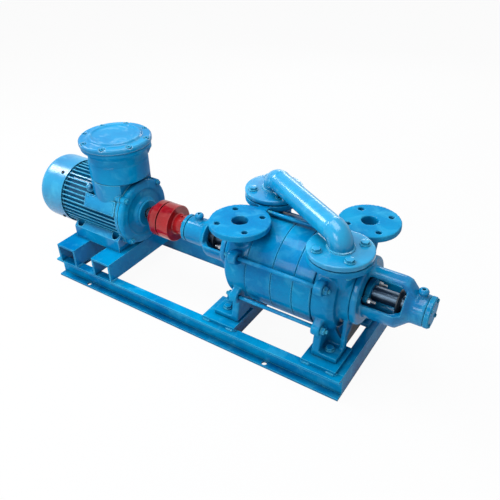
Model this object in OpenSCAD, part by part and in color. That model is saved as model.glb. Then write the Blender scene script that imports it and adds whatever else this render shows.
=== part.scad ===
// Two-stage liquid ring vacuum pump set: pump, flameproof motor, pin coupling and base frame.
// Millimetres, +Z up, +X from the motor to the pump's free end.
// Origin: centre of the four anchor holes, on the floor.

/* [Layout] */
// Height of the shaft centre above the floor
shaft_h = 222; // [214:1:240]
// Middle of the four ports, from the centre of the anchor holes
pump_x = 332; // [320:1:340]

/* [Base frame] */
// Length of the side rails
frame_len = 950; // [940:1:980]
// Left end of the rails, from the centre of the anchor holes
frame_left = 428; // [420:1:440]
// Width over both rails
frame_w = 320; // [312:1:340]
// Height of the rail channels
rail_h = 63; // [56:1:66]
// Width of a rail's flange
rail_flange = 25; // [24:1:34]
// Thickness of a channel's web
web_t = 5; // [4:0.5:7]
// Thickness of a channel's flange
flange_t = 6; // [4:0.5:8]
// Spacing of the anchor holes along the rails
anchor_dx = 624; // [560:1:680]
// Distance from a rail's edge to its anchor holes
anchor_edge = 10; // [9:0.5:12]
// Diameter of the anchor holes
anchor_d = 14; // [10:0.5:16]
// Width of a motor bearer
bearer_w = 70; // [60:1:80]
// Wall of a motor bearer
bearer_t = 6; // [4:0.5:8]
// Thickness of the pump's bed plates
bed_t = 10; // [6:0.5:14]
// Inner edge of the bed plates from the centre plane
bed_inner = 50; // [40:1:54]
// Distance from a rail's edge to the bed plates
bed_edge = 15; // [10:1:20]
// Width of the cross beams under the pump
cross_w = 60; // [50:1:70]

/* [Pump body] */
// Distance from the middle of the ports to the first casing joint
first_joint = 96; // [92:1:98]
// Length of the first stage casing
stage1_len = 72; // [66:1:76]
// Length of the body between the stages
mid_len = 58; // [50:1:64]
// Length of the second stage casing
stage2_len = 48; // [44:1:52]
// Outer radius of the casings
casing_r = 119; // [117:1:121]
// Bore radius of the casings
ring_r = 100; // [96:1:103]
// Height of the casing bore's centre above the shaft
ring_offset = 9; // [5:0.5:10]
// Chamfer at the casing joints
joint_chamfer = 2; // [1:0.5:3]
// Thickness of the port plates
port_plate_t = 8; // [6:0.5:10]
// Running gap at the sides of the impellers
side_gap = 0.5; // [0.3:0.1:1]

/* [Impellers] */
// Radius of the impellers
impeller_r = 88; // [80:1:90]
// Radius of the impeller hubs
hub_r = 36; // [32:1:42]
// Number of blades
blade_count = 14; // [10:1:18]
// Thickness of a blade
blade_t = 5; // [3:0.5:6]
// Forward sweep of a blade's tip
blade_sweep = 22; // [0:1:30]

/* [Ports] */
// Distance of the ports from the middle, along the shaft
port_x = 130.5; // [126:0.5:134]
// Distance of the ports from the centre plane
port_y = 79.5; // [78:0.5:82]
// Height of the port faces above the shaft
port_h = 138; // [138:1:160]
// Port bore
port_d = 40; // [30:1:44]
// Outer diameter of the flanges
flange_d = 150; // [145:1:152]
// Bolt circle of the flanges
flange_pcd = 110; // [104:1:114]
// Bolt holes of the flanges
flange_hole_d = 14; // [13:0.5:16]
// Thickness of the cast port flanges
port_flange_t = 16; // [12:1:20]
// Radius of the port necks
neck_r = 30; // [26:1:32]

/* [Covers] */
// Outer radius of the side covers
cover_r = 117; // [115:1:118]
// Depth of the drive side cover's drum
drive_drum = 69; // [66:1:76]
// Depth of the free side cover's drum
free_drum = 54; // [50:1:58]
// Length of the drive side stuffing box boss
drive_boss = 30; // [20:1:40]
// Length of the free side stuffing box boss
free_boss = 28; // [24:1:36]
// Radius of the drive side stuffing box boss
drive_boss_r = 62; // [58:1:70]
// Radius of the free side stuffing box boss
free_boss_r = 86; // [82:1:92]
// Circle of the tie rods
rod_pcd = 270; // [268:1:276]
// Diameter of the tie rods
rod_d = 10; // [8:0.5:12]
// Angle of the side tie rods from straight up
rod_angle = 64; // [58:1:66]
// Distance of the tie rod lugs from the cover's joint face
lug_u = 14; // [4:1:16]
// Thickness of the tie rod lugs
lug_t = 22; // [14:1:24]
// Radius of the tie rod lugs
lug_r = 17; // [16:0.5:18]
// Thickness of the foot walls
foot_wall = 20; // [14:1:22]
// Thickness of the foot pads
foot_pad_t = 14; // [10:1:18]
// Outer edge of the feet from the centre plane
foot_out = 120; // [116:1:126]
// Inner edge of the feet from the centre plane
foot_in = 58; // [56:1:62]
// Length of the drive side foot pad
drive_pad = 74; // [64:1:80]
// Length of the free side foot pad
free_pad = 66; // [60:1:70]

/* [Brackets and bearings] */
// Length of the drive side bracket's open part
drive_lantern = 76; // [70:1:84]
// Length of the free side bracket's open part
free_lantern = 104; // [96:1:112]
// Radius of the drive side bracket's trough
drive_trough_r = 56; // [55:1:58]
// Radius of the free side bracket's trough
free_trough_r = 62; // [58:1:68]
// Height of the drive side bracket's arm above the shaft
drive_arm_h = 62; // [60:1:66]
// Height of the free side bracket's arm above the shaft
free_arm_h = 74; // [70:1:78]
// Wall of the brackets
lantern_wall = 8; // [6:0.5:9]
// Thickness of a bracket's top arm
arm_t = 15; // [12:1:18]
// Half width of a bracket's top arm
arm_half = 18; // [14:1:22]
// Thickness of a bracket's flange
bracket_flange = 16; // [10:1:18]
// Outer radius of the bearing housings
housing_r = 38; // [37:0.5:42]
// Length of the drive side bearing housing
drive_housing = 62; // [52:1:70]
// Length of the free side bearing housing
free_housing = 36; // [32:1:40]
// Thickness of the bearing covers
bearing_cover_t = 12; // [8:1:14]
// Outer diameter of the pump's bearings
pump_brg_od = 62; // [58:1:64]
// Width of the pump's bearings
pump_brg_w = 16; // [14:1:18]

/* [Pump shaft and glands] */
// Diameter of the shaft in the bearings
brg_shaft_d = 30; // [28:1:32]
// Diameter of the shaft through the glands and impellers
pump_shaft_d = 36; // [34:1:40]
// Diameter of the shaft end in the coupling
pump_end_d = 28; // [24:1:29]
// Outer radius of the packing
packing_r = 26; // [25:0.5:28]
// Depth of the stuffing boxes
box_depth = 44; // [36:1:48]
// Width of one packing ring
packing_w = 8; // [6:0.5:9]
// Distance of the gland studs from the shaft
gland_stud_r = 36; // [35:0.5:37]

/* [Crossover pipe] */
// Outer diameter of the pipe
pipe_d = 56; // [50:1:57]
// Wall of the pipe
pipe_wall = 4; // [3:0.5:6]
// Centre line radius of the pipe's bends
bend_r = 29; // [29:0.5:40]
// Thickness of the pipe's flanges
pipe_flange_t = 13; // [10:1:18]
// Thickness of the gaskets
gasket_t = 2; // [1:0.5:3]

/* [Coupling] */
// Radius of the coupling halves
cpl_r = 52; // [51:1:56]
// Length of the motor half
cpl_motor_len = 44; // [42:1:52]
// Length of the pump half
cpl_pump_len = 67; // [60:1:74]
// Gap between the halves
cpl_gap = 4; // [2:0.5:6]
// Gap from the pump half to the bearing cover
cpl_stand_off = 6; // [4:1:10]
// Radius of the pin circle
pin_circle = 38; // [37:0.5:40]
// Diameter of the coupling pins
pin_d = 12; // [10:0.5:13]
// Wall of the rubber bushes
bush_wall = 5; // [3:0.5:6]
// Number of pins
pin_count = 6; // [4:1:8]

/* [Motor] */
// Height of the motor's shaft above its feet
motor_h = 100; // [96:1:104]
// Diameter of the motor's shaft end
motor_shaft_d = 28; // [24:1:29]
// Length of the motor's shaft end
motor_shaft_e = 60; // [58:1:64]
// Distance from the shaft shoulder to the first foot hole
foot_c = 63; // [60:1:66]
// Spacing of the foot holes along the shaft
foot_b = 140; // [132:1:144]
// Spacing of the foot holes across
foot_a = 160; // [156:1:168]
// Length of the feet
foot_len = 176; // [168:1:182]
// Height of the feet
foot_h = 38; // [30:1:42]
// Outer width over the feet
foot_w = 190; // [186:1:200]
// Radius of the frame under its fins
barrel_r = 84; // [82:0.5:85]
// Radius over the fins
fin_r = 95.5; // [94:0.5:98]
// Wall of the frame
barrel_wall = 9; // [7:0.5:10]
// Thickness of a fin
fin_t = 3.5; // [2:0.5:4]
// Number of fin places around the frame
fin_count = 44; // [40:2:54]
// Depth of the drive end shield
shield_depth = 26; // [25:1:30]
// Length of the finned frame
barrel_len = 232; // [226:1:236]
// Length of the fan cowl
cowl_len = 100; // [92:1:108]
// Wall of the fan cowl
cowl_wall = 2; // [1.5:0.5:3]
// Corner radius of the fan cowl
cowl_corner = 24; // [16:1:30]

/* [Terminal box] */
// Distance from the shaft shoulder to the middle of the terminal box
box_back = 92; // [90:1:98]
// Outer radius of the terminal box
box_r = 84; // [80:1:86]
// Wall of the terminal box
box_wall = 9; // [7:0.5:10]
// Height of the terminal box's floor above the shaft
box_floor_h = 107; // [106:1:112]
// Height of the lid's flat top above the shaft
lid_top_h = 220; // [205:1:220]
// Radius of the lid
lid_r = 100; // [98:1:102]
// Thickness of the lid
lid_t = 15; // [12:1:18]
// Radius of the lid's raised middle
lid_boss_r = 66; // [56:1:70]
// Height of the lid's raised middle
lid_boss_h = 6; // [3:1:8]
// Number of lid bolts
lid_bolts_n = 8; // [6:1:10]

/* [Fits] */
// Radial clearance of located and running fits
fit = 0.05; // [0.03:0.01:0.08]
// Clearance between parts that only stand near each other
slip = 0.4; // [0.3:0.1:0.6]

/* [Hidden] */
$fn = 64;

// Paint and metal colours
paint = [0.07, 0.46, 0.74];
paint_dark = [0.05, 0.36, 0.62];
red_paint = [0.72, 0.06, 0.09];
steel = [0.62, 0.63, 0.65];
bright_steel = [0.78, 0.79, 0.8];
iron = [0.36, 0.37, 0.39];
rubber = [0.12, 0.12, 0.13];
copper = [0.72, 0.42, 0.2];
bronze = [0.68, 0.5, 0.26];

// Frame
frame_x0 = -frame_left;
frame_x1 = frame_x0 + frame_len;
rail_out = frame_w / 2;
rail_in = rail_out - rail_flange;
anchor_y = rail_out - anchor_edge;
bed_top = rail_h + bed_t;

// Pump stations along the shaft
joint_1 = pump_x - first_joint;
joint_2 = joint_1 + stage1_len;
joint_3 = joint_2 + mid_len;
joint_4 = joint_3 + stage2_len;
drive_port_u = port_x - first_joint;
free_port_u = pump_x + port_x - joint_4;
drive_boss_end = joint_1 - drive_drum - drive_boss;
free_boss_end = joint_4 + free_drum + free_boss;
drive_housing_x = drive_boss_end - bracket_flange - drive_lantern;
free_housing_x = free_boss_end + bracket_flange + free_lantern;
drive_face = drive_housing_x - drive_housing;
free_face = free_housing_x + free_housing;
drive_end = drive_face - bearing_cover_t;
free_end = free_face + bearing_cover_t;
port_z = shaft_h + port_h;
pump_shaft_r = pump_shaft_d / 2;
brg_shaft_r = brg_shaft_d / 2;
seal_gap = 0.5;
foot_drop = shaft_h - bed_top;
drive_wall_u = 23;
free_wall_u = 12;
free_outer_wall = 10;
foot_bolt_d = 12;
foot_bolt_y = 95;
rod_hole_clear = 0.5;
rod_end = 6;
nut_t = 10;
nut_r = 10.5;
hex = 6;
spigot_t = 4;

// Bearings
brg_wall_share = 0.29;
brg_back = 3;
free_brg_x = free_face - brg_back - pump_brg_w;
drive_brg_x = drive_face + brg_back;
brg_spigot_clear = 0.2;

// Coupling stations
pump_half_x1 = drive_end - cpl_stand_off;
pump_half_x0 = pump_half_x1 - cpl_pump_len;
motor_half_x1 = pump_half_x0 - cpl_gap;
motor_half_x0 = motor_half_x1 - cpl_motor_len;
shaft_set_back = 5;
pump_shaft_x0 = pump_half_x0 + shaft_set_back;
motor_shaft_x1 = motor_half_x1 - shaft_set_back;
shoulder = motor_shaft_x1 - motor_shaft_e;
bush_r = pin_d / 2 + bush_wall;

// Motor stations
cap_t = 6;
shield_x1 = shoulder - cap_t - 2;
shield_x0 = shield_x1 - shield_depth;
barrel_x0 = shield_x0 - barrel_len;
foot_x1 = shoulder - foot_c;
foot_x0 = foot_x1 - foot_b;
foot_mid = (foot_x0 + foot_x1) / 2;
motor_base = shaft_h - motor_h;
bearer_h = motor_base - rail_h;
fan_shield_t = 14;
cowl_over = 8;
cowl_x1 = barrel_x0 + cowl_over;
cowl_x0 = cowl_x1 - cowl_len;
cowl_r = fin_r + slip + cowl_wall;
shield_pcd = 2 * barrel_r + 6;
shield_bolt_d = 8;
shield_lug_r = 10;
shield_lug_t = 18;
bore_r = barrel_r - barrel_wall;
air_gap = 0.6;
rotor_r = 44;
core_len = 110;
core_x0 = (barrel_x0 + shield_x0 - core_len) / 2;
motor_brg_od = 62;
motor_brg_id = 30;
motor_brg_w = 16;
drive_motor_brg = shield_x1 - motor_brg_w - 4;
fan_hub_t = 20;
fan_motor_brg = barrel_x0 - fan_shield_t - 8;
motor_tail = cowl_x0 + 30;
box_x = shoulder - box_back;
box_flange_t = 12;
lid_bottom_h = lid_top_h - lid_t;
lid_pcd = 2 * lid_r - 18;
lid_bolt_d = 8;

// Children turned so that their own Z runs along the shaft
module along_shaft(x) {
    translate([x, 0, shaft_h]) rotate([0, 90, 0]) children();
}

// A solid of revolution about the shaft, from [station, radius] pairs
module turned(profile) {
    along_shaft(0) rotate_extrude() polygon([for (p = profile) [p[1], p[0]]]);
}

module shaft_rod(x0, x1, r) {
    along_shaft(x0) cylinder(h = x1 - x0, r = r);
}

module shaft_tube(x0, x1, r_out, r_in) {
    turned([[x0, r_in], [x0, r_out], [x1, r_out], [x1, r_in]]);
}

// Copies around the shaft, the first straight up
module around_shaft(x, count, r, start = 0) {
    along_shaft(x)
        for (i = [0 : count - 1])
            rotate(start + i * 360 / count) translate([-r, 0, 0]) children();
}

module mirrored_y() {
    children();
    mirror([0, 1, 0]) children();
}

// Angles of a port flange's bolt holes; under the pipe a flush screw takes one of them
hole_start = 45;
hole_step = 90;
ALL_HOLES = [for (i = [0 : 3]) hole_start + i * hole_step];
function holes_but(angle) = [for (a = ALL_HOLES) if (a != angle) a];

module at_flange_holes(x, y, z, angles = ALL_HOLES) {
    for (a = angles)
        translate([x, y, z]) rotate(a) translate([flange_pcd / 2, 0, 0]) children();
}

module hex_bar(h, r) {
    cylinder(h = h, r = r, $fn = hex);
}

// Section of a channel: web on the left, toes to the right
module channel_section(height, width, web, flange) {
    difference() {
        square([width, height]);
        translate([web, flange]) square([width, height - 2 * flange]);
    }
}

module rail() {
    difference() {
        translate([frame_x0, rail_in, 0]) rotate([90, 0, 90])
            linear_extrude(frame_len) channel_section(rail_h, rail_flange, web_t, flange_t);
        for (s = [-1, 1])
            translate([s * anchor_dx / 2, anchor_y, -1]) cylinder(h = flange_t + 2, d = anchor_d);
    }
}

module front_rail() {
    color(paint) mirror([0, 1, 0]) rail();
}

module rear_rail() {
    color(paint) rail();
}

// Channel between the rails, its web facing out of the frame
module end_beam() {
    translate([0, rail_in, 0]) rotate([90, 0, 0])
        linear_extrude(2 * rail_in) channel_section(rail_h, rail_flange, web_t, flange_t);
}

module end_beams() {
    color(paint) {
        translate([frame_x0, 0, 0]) end_beam();
        translate([frame_x1, 0, 0]) mirror([1, 0, 0]) end_beam();
    }
}

// Inverted channel: flat on top, open below
module bearer_section(width, height, wall) {
    difference() {
        translate([-width / 2, 0]) square([width, height]);
        translate([-width / 2 + wall, -1]) square([width - 2 * wall, height - wall + 1]);
    }
}

module motor_bearers() {
    color(paint)
        for (x = [foot_x0, foot_x1])
            difference() {
                translate([x, rail_out, rail_h]) rotate([90, 0, 0])
                    linear_extrude(frame_w) bearer_section(bearer_w, bearer_h, bearer_t);
                for (s = [-1, 1])
                    translate([x, s * foot_a / 2, rail_h])
                        cylinder(h = bearer_h + 1, d = foot_bolt_d + 2 * fit);
            }
}

// Middle of each foot pad along the shaft
drive_foot_x = joint_1 - drive_wall_u - foot_wall - (drive_pad - foot_wall) / 2;
free_foot_x = joint_4 + free_wall_u + foot_wall + (free_pad - foot_wall - free_outer_wall) / 2;

module pump_cross_beams() {
    color(paint)
        for (x = [drive_foot_x, free_foot_x])
            translate([x, rail_in, 0]) rotate([90, 0, 0])
                linear_extrude(2 * rail_in) bearer_section(cross_w, rail_h, web_t);
}

// Plate under one foot, from inside its wall to beyond its pad
module bed_plate(x0, x1, bolt_x) {
    difference() {
        translate([x0, bed_inner, rail_h]) cube([x1 - x0, rail_out - bed_edge - bed_inner, bed_t]);
        translate([bolt_x, foot_bolt_y, rail_h - 1]) cylinder(h = bed_t + 2, d = foot_bolt_d + 2 * fit);
    }
}

drive_wall_x = joint_1 - drive_wall_u;
free_wall_x = joint_4 + free_wall_u;
drive_plate_x0 = drive_wall_x - drive_pad - 22;
drive_plate_x1 = drive_wall_x + 4;
free_plate_x0 = free_wall_x - 14;
free_plate_x1 = free_wall_x + free_pad + 12;

module bed_plates() {
    color(paint)
        mirrored_y() {
            bed_plate(drive_plate_x0, drive_plate_x1, drive_foot_x);
            bed_plate(free_plate_x0, free_plate_x1, free_foot_x);
        }
}

// Port neck: a flange on a throat that leans in towards the drum
neck_lean = 18;
neck_len = 96;
throat_h = 16;
throat_r = 42;
flange_sink = 3;

// Children with their own Z running down a leaning neck, from under the flange
module down_neck(u, side) {
    translate([u, side * port_y, port_h - port_flange_t + flange_sink])
        rotate([180 - side * neck_lean, 0, 0]) children();
}

module port_neck(u, side) {
    down_neck(u, side) cylinder(h = neck_len, r = neck_r);
    translate([u, side * port_y, port_h - port_flange_t - throat_h])
        cylinder(h = throat_h, r1 = neck_r - 4, r2 = throat_r);
    translate([u, side * port_y, port_h - port_flange_t]) cylinder(h = port_flange_t, d = flange_d);
}

// Gas way of a port: straight through the flange, then down the neck
module port_way(u, side) {
    translate([u, side * port_y, port_h - port_way_h]) cylinder(h = port_way_h + 1, d = port_d);
    down_neck(u, side) translate([0, 0, throat_h / 2]) cylinder(h = neck_len - 22, d = port_d);
}

port_way_h = 30;

// One leg of a foot, seen along the shaft
module leg_section() {
    polygon([
        [-leg_top, -20], [-foot_out, -foot_drop + foot_pad_t], [-foot_out, -foot_drop],
        [-foot_in, -foot_drop], [-foot_in, -foot_drop + foot_pad_t], [-foot_in + 22, -cover_r + 20]
    ]);
}

leg_top = 98;
rib_t = 12;
rib_top = 80;
rib_lean = 10;

// Outer wall of a foot, up into the boss
outer_y = 80;
outer_rise = 42;

module outer_section() {
    into_boss = free_boss_r - outer_wall_bite;
    polygon([
        [-into_boss * cos(outer_from), -into_boss * sin(outer_from)], [-outer_y, -foot_drop + foot_pad_t],
        [-outer_y, -foot_drop], [-foot_in, -foot_drop], [-foot_in, -foot_drop + outer_rise],
        [-into_boss * cos(outer_to), -into_boss * sin(outer_to)]
    ]);
}

outer_wall_bite = 12;
outer_from = 15;
outer_to = 74;

// Foot: a wall across the shaft, a pad, an inner rib and, where there is one, an outer wall
module cover_foot(wall_u, pad_len, outer_wall) {
    translate([wall_u, 0, 0]) rotate([90, 0, 90]) linear_extrude(foot_wall) leg_section();
    if (outer_wall > 0)
        translate([wall_u + pad_len - outer_wall, 0, 0]) rotate([90, 0, 90])
            linear_extrude(outer_wall) outer_section();
    translate([wall_u, -foot_out, -foot_drop]) cube([pad_len, foot_out - foot_in, foot_pad_t]);
    translate([wall_u, -foot_in, 0]) rotate([90, 0, 0])
        linear_extrude(rib_t)
            polygon([
                [0, -foot_drop], [pad_len, -foot_drop], [pad_len, -foot_drop + foot_pad_t],
                [foot_wall + rib_lean, -rib_top], [0, -rib_top]
            ]);
}

// Through rods at the sides, by their angles from straight up
SIDE_RODS = [rod_angle, 180 - rod_angle, 180 + rod_angle, -rod_angle];

module around_side_rods(u) {
    rotate([0, 90, 0])
        for (a = SIDE_RODS)
            rotate(a) translate([-rod_pcd / 2, 0, u]) children();
}

// Rods above and below, screwed into blind holes between the flanges
blind_rod_h = 129;
blind_lug_r = 9;
blind_lug_u = 4;
blind_lug_t = 28;
blind_depth = 26;

module around_blind_rods(u) {
    rotate([0, 90, 0])
        for (a = [0, 180])
            rotate(a) translate([-blind_rod_h, 0, u]) children();
}

// Lug around a tie rod, run into the drum
module rod_lug(r, length) {
    cylinder(h = length, r = r);
    translate([0, -r, 0]) cube([2 * r, 2 * r, length]);
}

// Side cover, modelled outwards along +X from its joint face
module side_cover(drum, boss, boss_r, port_u, wall_u, pad_len, outer_wall, pipe_side) {
    tapped = pipe_side > 0 ? 540 - under_pipe : under_pipe - 180;
    edge = 12;
    bolt_u = wall_u + foot_wall + (pad_len - foot_wall - outer_wall) / 2;
    difference() {
        union() {
            rotate([0, 90, 0]) rotate_extrude()
                polygon([
                    [0, 0], [cover_r - joint_chamfer, 0], [cover_r, joint_chamfer],
                    [cover_r, drum - edge], [cover_r - edge, drum], [boss_r + edge / 2, drum],
                    [boss_r, drum + edge / 2], [boss_r, drum + boss], [0, drum + boss]
                ]);
            for (side = [-1, 1])
                port_neck(port_u, side);
            mirrored_y() cover_foot(wall_u, pad_len, outer_wall);
            around_side_rods(lug_u) rod_lug(lug_r, lug_t);
            around_blind_rods(blind_lug_u) rod_lug(blind_lug_r, blind_lug_t);
        }
        rotate([0, 90, 0]) {
            translate([0, 0, -1]) cylinder(h = drum + boss + 2, r = pump_shaft_r + seal_gap);
            translate([0, 0, drum + boss - box_depth]) cylinder(h = box_depth + 1, r = packing_r + fit);
            for (a = [90, 270])
                rotate(a) translate([-gland_stud_r, 0, drum + boss - stud_in])
                    cylinder(h = stud_in + 1, d = stud_d + 2 * fit);
        }
        around_side_rods(lug_u - 1) cylinder(h = lug_t + 2, d = rod_d + 2 * rod_hole_clear);
        around_blind_rods(-1) cylinder(h = blind_depth + 1, d = rod_d + 2 * fit);
        for (side = [-1, 1]) {
            port_way(port_u, side);
            translate([-1, side * passage_y, passage_h]) rotate([0, 90, 0])
                cylinder(h = port_u + 1, d = passage_d);
            at_flange_holes(port_u, side * port_y, port_h - port_flange_t - 1,
                side == pipe_side ? holes_but(tapped) : ALL_HOLES)
                cylinder(h = port_flange_t + 2, d = flange_hole_d);
            translate([bolt_u, side * foot_bolt_y, -foot_drop - 1])
                cylinder(h = foot_pad_t + 2, d = foot_bolt_d + 2);
        }
        at_flange_holes(port_u, pipe_side * port_y, port_h - port_flange_t - 1, [tapped])
            cylinder(h = port_flange_t + 2, d = flange_bolt_d + 2 * fit);
        rotate([drain_angle, 0, 0]) translate([drum + boss / 2, 0, -boss_r - 1])
            cylinder(h = drain_depth + 1, d = drain_d + 2 * fit);
    }
}

passage_y = 60;
passage_h = 52;
passage_d = 32;
drain_angle = -14;
drain_depth = 14;
drain_d = 10;
stud_d = 8;
stud_in = 16;

// Cover placed on its joint; the drive side one looks the other way
module drive_cover() {
    color(paint) translate([joint_1, 0, shaft_h]) mirror([1, 0, 0])
        side_cover(drive_drum, drive_boss, drive_boss_r, drive_port_u, drive_wall_u, drive_pad, 0, 1);
}

module free_cover() {
    color(paint) translate([joint_4, 0, shaft_h])
        side_cover(free_drum, free_boss, free_boss_r, free_port_u, free_wall_u, free_pad,
            free_outer_wall, -1);
}

// Ring casing with an eccentric bore
module casing(x0, x1) {
    c = joint_chamfer;
    difference() {
        turned([
            [x0, 0], [x0, casing_r - c], [x0 + c, casing_r],
            [x1 - c, casing_r], [x1, casing_r - c], [x1, 0]
        ]);
        translate([0, 0, ring_offset]) shaft_rod(x0 - 1, x1 + 1, ring_r);
    }
}

module first_stage_casing() {
    color(paint) casing(joint_1, joint_2);
}

module second_stage_casing() {
    color(paint) casing(joint_3, joint_4);
}

module interstage_body() {
    c = joint_chamfer;
    bore = pump_shaft_r + seal_gap;
    color(paint)
        turned([
            [joint_2, bore], [joint_2, casing_r - c], [joint_2 + c, casing_r],
            [joint_3 - c, casing_r], [joint_3, casing_r - c], [joint_3, bore]
        ]);
}

// Plate with a suction and a discharge window beside the hub
module port_plate(x0) {
    difference() {
        translate([0, 0, ring_offset]) shaft_rod(x0, x0 + port_plate_t, ring_r - fit);
        shaft_rod(x0 - 1, x0 + port_plate_t + 1, pump_shaft_r + seal_gap);
        for (s = [-1, 1])
            translate([x0 - 1, s * passage_y, shaft_h + passage_h]) rotate([0, 90, 0])
                cylinder(h = port_plate_t + 2, d = passage_d);
    }
}

module port_plates() {
    color(iron) {
        port_plate(joint_1);
        port_plate(joint_4 - port_plate_t);
    }
}

rod_x0 = joint_1 - lug_u - lug_t - nut_t - rod_end;
rod_x1 = joint_4 + lug_u + lug_t + nut_t + rod_end;

module tie_rods() {
    blind_len = joint_4 - joint_1 + 2 * (blind_depth - 1);
    color(paint) {
        translate([rod_x0, 0, shaft_h]) around_side_rods(0) cylinder(h = rod_x1 - rod_x0, d = rod_d);
        translate([joint_1 - blind_depth + 1, 0, shaft_h])
            around_blind_rods(0) cylinder(h = blind_len, d = rod_d);
    }
}

module tie_rod_nuts() {
    color(paint)
        for (x = [joint_1 - lug_u - lug_t - nut_t, joint_4 + lug_u + lug_t])
            translate([x, 0, shaft_h]) around_side_rods(0)
                difference() {
                    hex_bar(nut_t, rod_nut_r);
                    translate([0, 0, -1]) cylinder(h = nut_t + 2, d = rod_d + 2 * fit);
                }
}

rod_nut_r = 9.5;

// Bearing bracket, modelled outwards along +X from the stuffing box boss:
// a flange, a drip trough under the gland with one arm above it, and the bearing housing
module bearing_bracket(lantern, flange_r, trough_r, arm_h, housing) {
    inner = trough_r - lantern_wall;
    lantern_end = bracket_flange + lantern;
    total = lantern_end + housing;
    taper = trough_r - housing_r;
    end_wall = 12;
    opening = packing_r + 10;
    shaft_way = brg_shaft_r + 5;
    brg_r = pump_brg_od / 2 + fit;
    grease_u = total - housing / 2;
    difference() {
        union() {
            difference() {
                rotate([0, 90, 0]) rotate_extrude()
                    polygon([
                        [opening, 0], [flange_r, 0], [flange_r, bracket_flange - 3],
                        [flange_r - 3, bracket_flange], [trough_r, bracket_flange],
                        [trough_r, lantern_end - taper], [housing_r + 3, lantern_end],
                        [housing_r, lantern_end + 5], [housing_r, total - 2], [housing_r - 2, total],
                        [brg_r, total], [brg_r, total - brg_seat], [shaft_way, total - brg_seat],
                        [shaft_way, lantern_end - end_wall], [inner - taper, lantern_end - end_wall],
                        [inner, lantern_end - end_wall - taper], [inner, bracket_flange - 4],
                        [opening, bracket_flange - 4]
                    ]);
                translate([bracket_flange, -trough_r, 0])
                    cube([lantern - end_wall, 2 * trough_r, trough_r]);
            }
            translate([0, arm_half, 0]) rotate([90, 0, 0]) linear_extrude(2 * arm_half)
                polygon([
                    [bracket_flange / 2, arm_h - arm_t - 6], [bracket_flange / 2, arm_h],
                    [lantern_end - 26, arm_h], [lantern_end - 12, arm_h - 4],
                    [lantern_end + 4, housing_r + 12], [lantern_end + 14, housing_r - 3],
                    [lantern_end - end_wall, shaft_way + 8],
                    [lantern_end - end_wall, housing_r], [lantern_end - 30, arm_h - arm_t]
                ]);
            translate([grease_u, 0, housing_r - 4]) cylinder(h = grease_boss_h, r = grease_d);
        }
        rotate([0, 90, 0])
            for (a = [90, 270])
                rotate(a) translate([-gland_stud_r, 0, -1])
                    cylinder(h = bracket_flange + 2, r = stud_d / 2 + 2);
        translate([grease_u, 0, 0]) cylinder(h = arm_h + grease_boss_h, d = grease_d + 2 * fit);
    }
}

grease_d = 10;
grease_boss_h = 14;
brg_seat = brg_back + pump_brg_w + 4;

module drive_bearing_bracket() {
    color(paint) translate([drive_boss_end, 0, shaft_h]) mirror([1, 0, 0])
        bearing_bracket(drive_lantern, drive_boss_r, drive_trough_r, drive_arm_h, drive_housing);
}

module free_bearing_bracket() {
    color(paint) translate([free_boss_end, 0, shaft_h])
        bearing_bracket(free_lantern, free_boss_r, free_trough_r, free_arm_h, free_housing);
}

// Rings of packing at the bottom of each stuffing box
packing_count = 3;

module packing_rings() {
    color(rubber)
        for (i = [0 : packing_count - 1]) {
            x_free = free_boss_end - box_depth + i * packing_w;
            x_drive = drive_boss_end + box_depth - (i + 1) * packing_w;
            shaft_tube(x_free, x_free + packing_w, packing_r, pump_shaft_r + fit);
            shaft_tube(x_drive, x_drive + packing_w, packing_r, pump_shaft_r + fit);
        }
}

// Gland follower: a sleeve into the stuffing box and an oval flange on two studs
gland_t = 12;
gland_gap = 14;
gland_nose = box_depth - packing_count * packing_w;

module gland_follower() {
    bore = pump_shaft_r + slip;
    difference() {
        union() {
            translate([0, 0, -gland_nose])
                cylinder(h = gland_nose + gland_t + gland_gap, r = packing_r - fit);
            translate([0, 0, gland_gap]) {
                cylinder(h = gland_t, r = packing_r + 6);
                for (s = [-1, 1])
                    translate([0, s * gland_stud_r, 0]) cylinder(h = gland_t, r = stud_d);
                translate([-stud_d, -gland_stud_r, 0]) cube([2 * stud_d, 2 * gland_stud_r, gland_t]);
            }
        }
        translate([0, 0, -gland_nose - 1]) cylinder(h = gland_nose + gland_t + gland_gap + 2, r = bore);
        for (s = [-1, 1])
            translate([0, s * gland_stud_r, 0]) cylinder(h = gland_t + gland_gap + 1, d = stud_d + 1);
    }
}

module at_glands() {
    along_shaft(free_boss_end) children();
    translate([drive_boss_end, 0, shaft_h]) rotate([0, -90, 0]) children();
}

module gland_followers() {
    color(paint_dark) at_glands() gland_follower();
}

// Studs with their nuts turned up against the gland flange
stud_out = 46;

module gland_studs() {
    color(steel)
        at_glands()
            for (s = [-1, 1])
                translate([0, s * gland_stud_r, 0]) {
                    translate([0, 0, -stud_in]) cylinder(h = stud_in + stud_out, d = stud_d);
                    translate([0, 0, gland_gap + gland_t]) hex_bar(8, stud_d * 0.85);
                }
}

// Ball bearing pieces, made about their own Z axis
function ball_circle(bore_d, out_d) = (bore_d + out_d) / 4;
function ball_r(bore_d, out_d) = (out_d - bore_d) * brg_wall_share / 2;

module brg_race(bore_d, out_d, w, outer) {
    mid = ball_circle(bore_d, out_d);
    b = ball_r(bore_d, out_d);
    land = b * 0.45;
    difference() {
        rotate_extrude()
            polygon(outer
                ? [[mid + land, 0], [out_d / 2, 0], [out_d / 2, w], [mid + land, w]]
                : [[bore_d / 2, 0], [mid - land, 0], [mid - land, w], [bore_d / 2, w]]);
        translate([0, 0, w / 2]) rotate_extrude() translate([mid, 0]) circle(r = b + 0.1);
    }
}

ball_count = 9;

module brg_balls(bore_d, out_d, w) {
    for (i = [0 : ball_count - 1])
        rotate(i * 360 / ball_count) translate([ball_circle(bore_d, out_d), 0, w / 2])
            sphere(r = ball_r(bore_d, out_d));
}

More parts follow.
